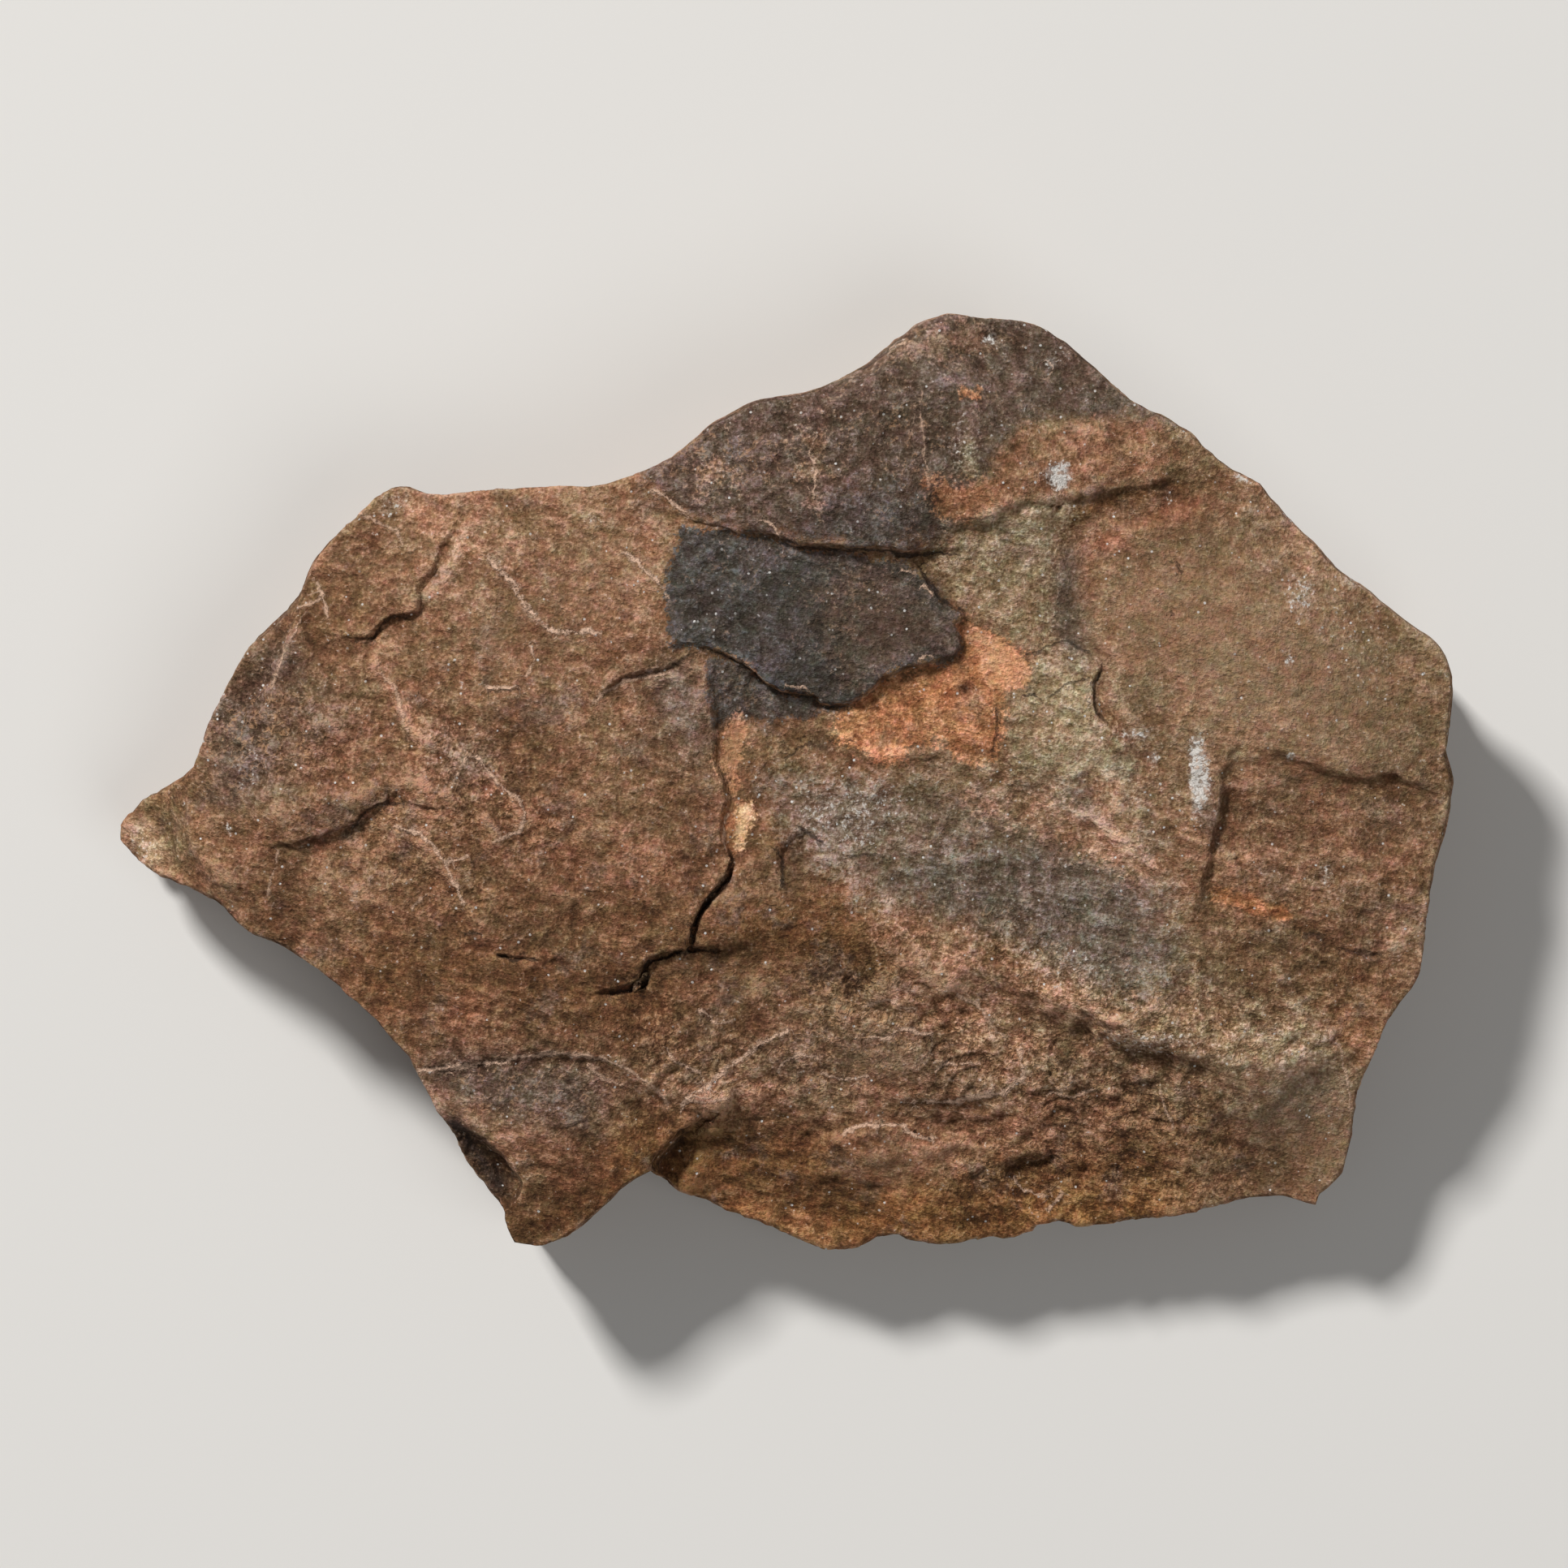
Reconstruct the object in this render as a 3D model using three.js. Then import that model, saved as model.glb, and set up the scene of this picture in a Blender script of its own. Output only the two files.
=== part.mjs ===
// A broken slab of bedded sandstone with a trackway face, lying on its flat underside.
// One stone, one closed solid. Millimetres, +Z up. The origin is under the middle of the slab,
// on the plane that it rests on: the face looks up, and the left tip points along -X.

import * as THREE from 'three';
import { ImprovedNoise } from 'three/addons/math/ImprovedNoise.js';

// ---------------------------------------------------------------- driving dimensions

const SLAB_LENGTH = 180; // from the left tip to the right edge
const PLAN_LENGTH = 1654; // the same length in squares of the plan grid
const SQUARE = SLAB_LENGTH / PLAN_LENGTH;
const PLAN_CENTRE = { x: 966, y: 964.5 }; // the plan's y runs down, towards the tooth
const SLAB_THICKNESS = 31.5; // from the underside to the top of the dome
const DRAWN_THICKNESS = 31.5; // the same height as the heights below are drawn

const RIM_STATIONS = 224;
const RIM_CHIP = 0.28; // how far the broken edge wanders
const EDGE_ROUNDING = 0.55; // the face stops this far inside the widest outline
const FACE_SPACING = 2.55; // between free points of the face
const ROW_SPACING = 1.9; // between points along a ledge or a crack
const ROW_CLEARANCE = 0.8; // least distance between row points
const EDGE_CLEARANCE = 1.25; // least distance from the rim to a point of the face
const UNDERSIDE_SPACING = 6.5;
const SPOT_REACH = 8.5; // how far one spot height governs the face around it

// The broken wall, ring by ring: share of the way down, how far it is set in, and which bed of the
// stone it bounds. Both rings of a bed wander together, by as much as that bed has broken back.
const WALL_RINGS = [
  { down: 0.08, inset: 0, bed: 0 },
  { down: 0.31, inset: 0.4, bed: 0 },
  { down: 0.36, inset: 0.9, bed: 1 },
  { down: 0.6, inset: 1.2, bed: 1 },
  { down: 0.65, inset: 0.8, bed: 2 },
  { down: 0.92, inset: 1.2, bed: 2 },
  { down: 1, inset: 2.4, bed: 2 },
];
const BED_WANDER = [0.35, 1.7, 1.6];
const BED_DIP = 2.2; // how far the bed boundaries rise and fall round the wall
const BLOCK_STEP = 0.45; // the wall breaks back in blocks, by steps of this size

// ---------------------------------------------------------------- the plan of the slab

// Outline seen from above, clockwise on the plan from the left tip.
const RIM = [
  [139, 1028], [147, 1008], [168, 988], [226, 951], [241, 932], [250, 905], [282, 833],
  [300, 803], [358, 743], [392, 681], [447, 624], [486, 597], [540, 606], [625, 598],
  [680, 597], [725, 597], [760, 592], [795, 579], [850, 545], [878, 521], [935, 492],
  [995, 484], [1055, 452], [1128, 396], [1158, 386], [1190, 385], [1262, 392], [1285, 402],
  [1338, 440], [1388, 487], [1445, 517], [1513, 572], [1550, 593], [1566, 614], [1625, 672],
  [1645, 697], [1685, 725], [1745, 772], [1765, 783], [1786, 812], [1792, 840], [1789, 878],
  [1786, 935], [1792, 958], [1780, 1035], [1771, 1062], [1766, 1105], [1758, 1165],
  [1753, 1210], [1722, 1249], [1702, 1290], [1674, 1362], [1671, 1405], [1661, 1452],
  [1631, 1474], [1635, 1488], [1622, 1490], [1575, 1479], [1500, 1492], [1430, 1506],
  [1342, 1515], [1288, 1510], [1262, 1527], [1235, 1532], [1210, 1529], [1150, 1536],
  [1092, 1526], [1062, 1540], [1030, 1544], [1002, 1538], [940, 1509], [905, 1498],
  [830, 1464], [800, 1446], [775, 1464], [705, 1526], [680, 1538], [648, 1541], [628, 1534],
  [610, 1482], [576, 1440], [556, 1400], [518, 1338], [507, 1313], [468, 1266], [412, 1217],
  [352, 1173], [297, 1148], [272, 1123], [245, 1104], [176, 1069], [140, 1037],
];

// Heights of the face above the underside: plan x, plan y, millimetres.
const SPOT_HEIGHTS = [
  // along the rim, from the left tip
  [150, 1030, 12], [190, 975, 16], [250, 905, 21], [300, 803, 23], [358, 743, 23], [428, 642, 23],
  [486, 603, 23], [600, 602, 25.5], [725, 602, 26.5], [850, 552, 27], [962, 497, 27], [1055, 460, 26],
  [1130, 404, 24], [1230, 397, 23.5], [1312, 424, 23.5], [1415, 508, 24.5], [1513, 578, 24],
  [1600, 655, 23], [1700, 740, 22], [1765, 790, 21], [1786, 880, 21.5], [1785, 960, 21],
  [1768, 1060, 20], [1752, 1200, 18.5], [1700, 1285, 17.5], [1668, 1400, 14.5], [1640, 1465, 12.5],
  [1545, 1480, 12.5], [1385, 1504, 12], [1262, 1520, 12], [1118, 1520, 12.5], [1002, 1528, 12.5],
  [905, 1490, 12.5], [815, 1450, 13.5], [730, 1495, 19], [645, 1530, 17.5], [612, 1470, 19.5],
  [545, 1375, 22], [495, 1292, 23], [440, 1240, 22.5], [352, 1168, 21.5], [290, 1135, 20.5],
  [235, 1095, 18],
  // the left plateau
  [235, 1010, 24], [300, 990, 25], [300, 1080, 24.5], [370, 860, 25.5], [400, 930, 26],
  [460, 700, 25.8], [500, 850, 26.5], [600, 700, 27], [700, 900, 27.4], [800, 1000, 27.6],
  [760, 700, 27.8], [850, 1080, 27.2], [700, 1130, 26.4], [600, 1080, 26.3], [450, 1100, 25.2],
  [550, 1220, 25.2], [700, 1250, 25], [800, 1250, 24.8], [600, 960, 26.8],
  // the dome and the ground to its right
  [900, 600, 29], [950, 550, 29.5], [1050, 550, 30.4], [1150, 500, 29.4], [1200, 580, 30],
  [1050, 630, 30.8], [1130, 620, 30.4], [1300, 500, 27.2], [1400, 560, 26.6], [1200, 720, 27.4],
  [1300, 880, 26.4], [1250, 820, 26.2],
  // the dark flake, the bare hollow below it and the smooth right lobe
  [900, 720, 28.4], [1000, 750, 28.2], [1100, 760, 28], [1100, 900, 25.6], [1000, 930, 25.5],
  [1400, 700, 25.6], [1500, 750, 26.4], [1600, 800, 26], [1700, 850, 24.6], [1450, 850, 26],
  [1550, 880, 25.6], [1430, 960, 25.4],
  // the grey valley, its crest and the recess on the right
  [1250, 1050, 23.6], [1350, 1100, 23.2], [1150, 1040, 24], [1050, 1010, 25], [1000, 1100, 25.4],
  [1150, 1140, 24.6], [1330, 1220, 23.2], [1480, 1290, 21.6], [1580, 1280, 21], [1600, 1000, 23.8],
  [1700, 1050, 22.4], [1600, 1150, 22.8], [1450, 1060, 24.6], [1480, 1200, 22.8], [1680, 1200, 20.8],
  // the slope to the lower edge
  [1000, 1250, 22.2], [900, 1300, 22], [1150, 1300, 20], [1300, 1330, 18.8], [1450, 1390, 16.6],
  [1600, 1400, 16], [1000, 1390, 17.2], [1100, 1410, 17], [900, 1410, 16.2], [1200, 1450, 14.8],
  [1300, 1440, 14.4], [1400, 1450, 14.2], [870, 1450, 14.4],
  // the tooth
  [600, 1350, 24], [700, 1350, 24], [800, 1380, 23.4], [740, 1430, 22.4], [680, 1480, 20.5],
  [640, 1420, 23],
];

// Steps between beds. The high ground lies to the left of the way the route runs, with +Y up.
// drop: height of the step at even shares of the route; face: how wide the step is in plan;
// reach: how far it fades away on both sides; lift: share of the drop that the high side rises.
const LEDGES = {
  domeFoot: {
    route: [[790, 600], [825, 620], [852, 640], [900, 654], [965, 664], [985, 673], [1060, 679],
      [1120, 683], [1185, 682]],
    drop: [0, 0.5, 1.4, 2, 1.8, 0.3], reach: 11,
  },
  domeShoulder: {
    route: [[1140, 662], [1160, 655], [1222, 643], [1226, 628], [1290, 617], [1345, 611], [1400, 603],
      [1445, 590], [1490, 560]],
    drop: [0, 1, 1, 1.2, 0.8, 0], reach: 9,
  },
  darkFlake: {
    route: [[820, 800], [850, 796], [880, 803], [915, 815], [938, 838], [962, 851], [1003, 858],
      [1008, 869], [1050, 868], [1066, 855], [1086, 838], [1122, 822], [1165, 814], [1185, 799],
      [1174, 770], [1186, 755], [1152, 736], [1128, 694]],
    drop: [0.4, 1, 1.6, 1.8, 1.6, 1.3, 1.1, 0.9, 0.5], reach: 8,
  },
  plateauArc: {
    route: [[728, 872], [745, 850], [772, 834], [800, 827], [830, 821], [846, 811], [866, 801]],
    drop: [0, 0.9, 1, 0.9, 0.3], reach: 9,
  },
  upperLeftStep: {
    route: [[400, 782], [440, 786], [460, 787], [470, 768], [482, 761], [518, 757], [513, 738],
      [524, 716], [544, 698], [541, 676], [562, 658], [570, 640], [567, 616]],
    drop: [0, 1.3, 1.3, 1, 1, 0.4], reach: 10,
  },
  lowerLeftStep: {
    route: [[330, 1048], [362, 1041], [400, 1030], [432, 1020], [455, 999], [478, 989], [505, 990],
      [530, 995], [565, 996]],
    drop: [0, 1.2, 1.3, 1, 0.6, 0], reach: 9,
  },
  plateauEdge: {
    route: [[897, 1052], [888, 1030], [895, 995], [898, 982], [888, 955], [881, 930], [882, 895],
      [876, 860], [868, 812]],
    drop: [0.9, 1.2, 1, 0.8, 0.3], reach: 9,
  },
  crackShoulder: {
    route: [[848, 1168], [852, 1142], [866, 1122], [882, 1098], [897, 1084], [903, 1056]],
    drop: [0.5, 0.8, 1, 0.9], reach: 10,
  },
  innerShelf: {
    route: [[725, 1226], [748, 1221], [775, 1217], [797, 1207], [793, 1193], [802, 1183], [822, 1176],
      [850, 1170], [882, 1171], [912, 1163], [940, 1148]],
    drop: [0, 1, 1.3, 1.2, 0], reach: 11,
  },
  lobeWall: {
    route: [[1398, 908], [1375, 899], [1353, 884], [1346, 858], [1350, 836], [1358, 818]],
    drop: [0.3, 1, 1, 0.2], reach: 7,
  },
  grooveWall: {
    route: [[1466, 1140], [1480, 1096], [1490, 1060], [1500, 1020], [1503, 980], [1509, 940],
      [1522, 903]],
    drop: [0.3, 1.1, 1.4, 1.2, 0.2], reach: 8,
  },
  recessTop: {
    route: [[1512, 922], [1560, 922], [1605, 940], [1645, 955], [1695, 966], [1722, 956], [1798, 987]],
    drop: [0, 1, 1.2, 1.2, 0.9], reach: 10,
  },
  valleyCrest: {
    route: [[1180, 1196], [1250, 1222], [1335, 1256], [1405, 1293], [1470, 1308], [1520, 1338],
      [1552, 1392]],
    drop: [0, 1.2, 2.2, 2.6, 1.4, 0], face: 2.4, reach: 10,
  },
  toothSeam: {
    route: [[500, 1322], [560, 1314], [640, 1301], [700, 1298], [760, 1311], [812, 1352], [862, 1366]],
    drop: [0.5, 0.6, 0.8, 0.8, 0.6], reach: 8,
  },
  toothEdge: {
    route: [[792, 1458], [812, 1430], [832, 1404], [850, 1386], [872, 1366], [905, 1352]],
    drop: [4.5, 4.5, 3.2, 1.6, 0], face: 1.2, reach: 8,
  },
  toothBevel: {
    route: [[548, 1382], [580, 1398], [612, 1424], [634, 1452], [634, 1478], [612, 1500]],
    drop: [0.5, 3, 4, 3.6, 1], face: 1.4, reach: 16, lift: 0.1,
  },
  tipBevel: {
    route: [[222, 948], [210, 985], [214, 1020], [226, 1052], [252, 1082], [290, 1112], [330, 1150]],
    drop: [0.6, 3, 4, 3.2, 2, 1, 0.2], face: 3.4, reach: 24, lift: 0.1,
  },
  leftStrip: {
    route: [[392, 690], [374, 735], [356, 780], [345, 820], [334, 862], [318, 905]],
    drop: [0.2, 1.3, 1.5, 1.3, 0], face: 1.2, reach: 9, lift: 0.3,
  },
  crownBevel: {
    route: [[1150, 402], [1112, 426], [1082, 456], [1042, 482], [990, 500]],
    drop: [0.4, 3, 3.4, 2, 0.2], face: 1.4, reach: 12, lift: 0.1,
  },
  lowerArc: {
    route: [[1175, 1414], [1150, 1410], [1125, 1404], [1106, 1391], [1082, 1388], [1030, 1400],
      [985, 1408]],
    drop: [0, 0.8, 1.1, 0.9, 0], reach: 6,
  },
  lowerBrow: {
    route: [[1190, 1452], [1235, 1438], [1270, 1424], [1312, 1420], [1350, 1432]],
    drop: [0, 0.9, 1.3, 0.8, 0], face: 1.2, reach: 7,
  },
  squareNook: {
    route: [[968, 1116], [962, 1086], [957, 1044], [985, 1020], [1018, 1040]],
    drop: [0.2, 0.9, 0.8, 0.8, 0], reach: 6,
  },
};
const LEDGE_FACE = 0.9;
const LEDGE_LIFT = 0.5;
const LEDGE_WANDER = 0.45; // how far a ledge strays from its route

// Open cracks, as V grooves: width at the top and depth.
const CRACKS = {
  longCrack: {
    route: [[903, 1056], [901, 1072], [896, 1086], [880, 1101], [866, 1122], [853, 1142], [854, 1156],
      [850, 1170]],
    width: 1, depth: 1.3,
  },
  shelfCrack: {
    route: [[745, 1223], [776, 1218], [797, 1207], [793, 1193], [803, 1183], [822, 1176], [850, 1170],
      [885, 1172]],
    width: 1, depth: 1.1,
  },
  shortCrack: {
    route: [[612, 1176], [635, 1179], [664, 1184]],
    width: 0.9, depth: 0.7,
  },
};
const CRACK_WANDER = 0.25;

// Swellings and hollows: plan centre, half lengths in millimetres, turn in degrees, height.
const LUMPS = {
  outerToe: { at: [345, 1000], half: [4.4, 3.2], turn: 0, height: 0.7 },
  middleToe: { at: [415, 985], half: [5, 3], turn: 10, height: 0.9 },
  innerToe: { at: [530, 962], half: [4.4, 2.4], turn: 15, height: 0.7 },
  heelPad: { at: [575, 1006], half: [8, 3.6], turn: -8, height: 0.9 },
  toeHole: { at: [487, 976], half: [1.3, 1.3], turn: 0, height: -1.5 },
  plateauRidge: { at: [512, 872], half: [9, 2.2], turn: -58, height: 0.6 },
  plateauSwell: { at: [640, 700], half: [13, 8], turn: 0, height: 0.5 },
  domeSwell: { at: [1010, 600], half: [13, 7], turn: 0, height: 0.8 },
  shoulderTrough: { at: [1410, 628], half: [9, 1.6], turn: 18, height: -0.9 },
  shoulderRidge: { at: [1408, 650], half: [8, 1.1], turn: 16, height: 0.6 },
  lobeTrough: { at: [1316, 730], half: [2, 8], turn: 0, height: -0.6 },
  lobeSwell: { at: [1560, 780], half: [18, 12], turn: 0, height: 0.8 },
  bruisedLip: { at: [1474, 990], half: [1.6, 10], turn: -6, height: 0.7 },
  greyValley: { at: [1270, 1100], half: [14, 6], turn: -12, height: -0.6 },
  recessFloor: { at: [1600, 1040], half: [10, 6], turn: 0, height: -0.4 },
  recessNick: { at: [1690, 1178], half: [4, 1], turn: 0, height: -0.6 },
  slopeBoss: { at: [1090, 1425], half: [8, 2.8], turn: 4, height: 1.1 },
  slopeDimple: { at: [1010, 1408], half: [3.4, 1.5], turn: 0, height: -0.9 },
  browHollow: { at: [1280, 1436], half: [4, 2], turn: 12, height: -1 },
  lowerLip: { at: [1230, 1492], half: [6, 2], turn: 8, height: 0.8 },
  shoulderBoss: { at: [930, 1445], half: [6, 2.6], turn: -10, height: 0.8 },
  rightBoss: { at: [1400, 1402], half: [7, 2.6], turn: -20, height: 0.6 },
  slopeGully: { at: [1165, 1384], half: [4, 1.4], turn: 0, height: -0.8 },
  slopeSwell: { at: [1150, 1330], half: [7, 2.4], turn: -8, height: 0.6 },
};

const noise = new ImprovedNoise();

function clamp(value, low = 0, high = 1) {
  return Math.min(high, Math.max(low, value));
}

function smooth(share) {
  const s = clamp(share);
  return s * s * (3 - 2 * s);
}

function planPoint([x, y]) {
  return new THREE.Vector2((x - PLAN_CENTRE.x) * SQUARE, (PLAN_CENTRE.y - y) * SQUARE);
}

// ---------------------------------------------------------------- routes of ledges and cracks

// Splits a route into short steps and lets it wander a little, as a break in stone does.
function brokenRoute(corners, wander) {
  const path = new THREE.CurvePath();
  for (let i = 1; i < corners.length; i += 1) {
    path.add(new THREE.LineCurve(planPoint(corners[i - 1]), planPoint(corners[i])));
  }
  const steps = Math.max(2, Math.round(path.getLength() / ROW_SPACING));
  const points = path.getSpacedPoints(steps);
  return points.map((point) => new THREE.Vector2(
    point.x + wander * noise.noise(0.61 * point.x, 0.61 * point.y, 3.7),
    point.y + wander * noise.noise(0.61 * point.x, 0.61 * point.y, 8.2),
  ));
}

// The nearest place of a route to a point: signed distance, positive to the left, and the share
// of the route at which it lies.
function nearestOnRoute(route, x, y) {
  let best = null;
  for (let i = 1; i < route.length; i += 1) {
    const start = route[i - 1];
    const runX = route[i].x - start.x;
    const runY = route[i].y - start.y;
    const length = Math.hypot(runX, runY);
    const share = clamp(((x - start.x) * runX + (y - start.y) * runY) / length ** 2);
    const distance = Math.hypot(x - start.x - share * runX, y - start.y - share * runY);
    const across = (runX * (y - start.y) - runY * (x - start.x)) / length;
    const closer = !best || distance < best.distance - 1e-6;
    const cornerTie = best && Math.abs(distance - best.distance) <= 1e-6;
    if (closer || (cornerTie && Math.abs(across) > Math.abs(best.across))) {
      best = { distance, across, share: (i - 1 + share) / (route.length - 1) };
    }
  }
  return { side: Math.sign(best.across) * best.distance, share: best.share };
}

function valueAlong(values, share) {
  const place = clamp(share) * (values.length - 1);
  const i = Math.min(values.length - 2, Math.floor(place));
  return values[i] + (values[i + 1] - values[i]) * (place - i);
}

function withRoute(feature, wander) {
  const route = brokenRoute(feature.route, wander);
  return { ...feature, route, bounds: new THREE.Box2().setFromPoints(route) };
}

const ledges = Object.values(LEDGES).map((ledge) => ({
  face: LEDGE_FACE,
  lift: LEDGE_LIFT,
  ...withRoute(ledge, LEDGE_WANDER),
}));
const cracks = Object.values(CRACKS).map((crack) => withRoute(crack, CRACK_WANDER));
const lumps = Object.values(LUMPS).map((lump) => ({
  ...lump,
  centre: planPoint(lump.at),
  cos: Math.cos(THREE.MathUtils.degToRad(lump.turn)),
  sin: Math.sin(THREE.MathUtils.degToRad(lump.turn)),
}));
const spots = SPOT_HEIGHTS.map(([x, y, height]) => ({ centre: planPoint([x, y]), height }));

// ---------------------------------------------------------------- height of the face

function isFar(feature, x, y, reach) {
  const { min, max } = feature.bounds;
  return x < min.x - reach || x > max.x + reach || y < min.y - reach || y > max.y + reach;
}

function broadHeight(x, y) {
  let weights = 1e-9;
  let sum = 0;
  for (const { centre, height } of spots) {
    const away = ((x - centre.x) ** 2 + (y - centre.y) ** 2) / SPOT_REACH ** 2;
    const weight = Math.exp(-away);
    weights += weight;
    sum += weight * height;
  }
  return sum / weights;
}

function ledgeHeight({ route, drop, face, lift, reach }, x, y) {
  const near = nearestOnRoute(route, x, y);
  const high = smooth(0.5 + near.side / face);
  const fade = 1 - smooth(Math.abs(near.side) / reach);
  return valueAlong(drop, near.share) * fade * (lift * high - (1 - lift) * (1 - high));
}

function crackDepth({ route, width, depth }, x, y) {
  const near = nearestOnRoute(route, x, y);
  const ends = smooth(4 * near.share) * smooth(4 - 4 * near.share);
  return depth * (0.35 + 0.65 * ends) * (1 - smooth((2 * Math.abs(near.side)) / width));
}

function lumpHeight({ centre, half, cos, sin, height }, x, y) {
  const along = (x - centre.x) * cos + (y - centre.y) * sin;
  const across = (y - centre.y) * cos - (x - centre.x) * sin;
  return height * Math.exp(-((along / half[0]) ** 2) - (across / half[1]) ** 2);
}

// The bedding face is even; where the stone breaks down to the lower edge it is rougher.
function grainHeight(x, y, level) {
  const rough = 0.16 + 0.34 * smooth((23 - level) / 6);
  const coarse = noise.noise(0.16 * x, 0.24 * y, 1.3);
  const fine = noise.noise(0.42 * x, 0.6 * y, 6.1);
  return rough * (1.3 * coarse + fine);
}

function faceHeight(x, y) {
  const level = broadHeight(x, y);
  let height = level + grainHeight(x, y, level);
  for (const ledge of ledges) {
    if (!isFar(ledge, x, y, ledge.reach)) height += ledgeHeight(ledge, x, y);
  }
  for (const crack of cracks) {
    if (!isFar(crack, x, y, crack.width)) height -= crackDepth(crack, x, y);
  }
  for (const lump of lumps) {
    height += lumpHeight(lump, x, y);
  }
  return (height * SLAB_THICKNESS) / DRAWN_THICKNESS;
}

// ---------------------------------------------------------------- the broken edge

// Points round the slab, anticlockwise from above, wandering a little about the plan outline.
function makeRim() {
  const corners = RIM.map(planPoint).map(({ x, y }) => new THREE.Vector3(x, y, 0));
  const outline = new THREE.CatmullRomCurve3(corners.reverse(), true, 'centripetal');
  outline.arcLengthDivisions = 3000;
  const even = outline.getSpacedPoints(RIM_STATIONS).slice(0, RIM_STATIONS);
  return even.map(({ x, y }) => new THREE.Vector2(
    x + RIM_CHIP * noise.noise(0.55 * x, 0.55 * y, 11.4),
    y + RIM_CHIP * noise.noise(0.55 * x, 0.55 * y, 15.9),
  ));
}

// Inward directions, averaged over a few neighbours so that they never cross at a tip.
function inwardDirections(rim) {
  const reach = 3;
  const perimeter = rim.reduce((sum, point, i) => sum + point.distanceTo(rim.at(i - 1)), 0);
  const arc = (2 * reach * perimeter) / rim.length;
  return rim.map((_, i) => {
    const before = rim.at(i - reach);
    const after = rim[(i + reach) % rim.length];
    return new THREE.Vector2(before.y - after.y, after.x - before.x).divideScalar(arc);
  });
}

// How far a bed has broken back at a place on the rim: whole blocks at a time, never outwards.
function bedBreak({ x, y }, bed) {
  const slow = noise.noise(0.11 * x + 5 * bed, 0.11 * y, 4.3 * bed + 0.8);
  const quick = noise.noise(0.37 * x, 0.37 * y + 7 * bed, 2.9 * bed + 0.4);
  const steps = Math.round((BED_WANDER[bed] * (1.6 * slow + 0.5 * quick)) / BLOCK_STEP);
  return Math.max(-0.3, steps * BLOCK_STEP) + 0.15 * quick;
}

function ringPoints(rim, inward, insetAt) {
  return rim.map((point, i) => point.clone().addScaledVector(inward[i], insetAt(i)));
}

// ---------------------------------------------------------------- points of the face

function isInside(outline, x, y) {
  let inside = false;
  for (let i = 0, j = outline.length - 1; i < outline.length; j = i, i += 1) {
    const a = outline[i];
    const b = outline[j];
    const spans = a.y > y !== b.y > y;
    if (spans && x < ((b.x - a.x) * (y - a.y)) / (b.y - a.y) + a.x) inside = !inside;
  }
  return inside;
}

function distanceToOutline(outline, x, y) {
  return Math.abs(nearestOnRoute([...outline, outline[0]], x, y).side);
}

// Adds the candidates that lie inside the outline and clear of every point so far.
function addPoints(points, candidates, outline, clearance) {
  for (const { x, y } of candidates) {
    const crowded = points.some((point) => Math.hypot(point.x - x, point.y - y) < clearance);
    if (crowded || !isInside(outline, x, y)) continue;
    if (distanceToOutline(outline, x, y) < EDGE_CLEARANCE) continue;
    points.push(new THREE.Vector2(x, y));
  }
}

// A row of points beside a route, a fixed distance to its left (or right, when negative).
function rowBeside(route, offset) {
  return route.map((point, i) => {
    const before = route[Math.max(0, i - 1)];
    const after = route[Math.min(route.length - 1, i + 1)];
    const across = new THREE.Vector2(before.y - after.y, after.x - before.x).normalize();
    return point.clone().addScaledVector(across, offset);
  });
}

// A triangular lattice over the slab, shaken so that no row shows.
function shakenLattice(spacing) {
  const lattice = [];
  const rowHeight = spacing * Math.sqrt(0.75);
  const reach = SLAB_LENGTH / 2;
  const shake = 0.5 * spacing;
  for (let row = 0; row * rowHeight < 2 * reach; row += 1) {
    for (let column = 0; column * spacing < 2 * reach; column += 1) {
      const x = (column + 0.5 * (row % 2)) * spacing - reach;
      const y = row * rowHeight - reach;
      const shakeX = shake * noise.noise(0.37 * column + 0.2, 0.53 * row + 0.7, 4.4);
      const shakeY = shake * noise.noise(0.59 * column + 0.6, 0.41 * row + 0.1, 9.6);
      lattice.push(new THREE.Vector2(x + shakeX, y + shakeY));
    }
  }
  return lattice;
}

function facePoints(edge) {
  const points = edge.map((point) => point.clone());
  for (const { route, width } of cracks) {
    addPoints(points, route, edge, 0.5 * ROW_CLEARANCE);
    addPoints(points, rowBeside(route, 0.5 * width), edge, 0.5 * ROW_CLEARANCE);
    addPoints(points, rowBeside(route, -0.5 * width), edge, 0.5 * ROW_CLEARANCE);
  }
  for (const { route, face } of ledges) {
    addPoints(points, rowBeside(route, 0.5 * face), edge, ROW_CLEARANCE);
    addPoints(points, rowBeside(route, -0.5 * face), edge, ROW_CLEARANCE);
  }
  addPoints(points, shakenLattice(FACE_SPACING), edge, 0.72 * FACE_SPACING);
  return points;
}

// ---------------------------------------------------------------- triangles

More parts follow.
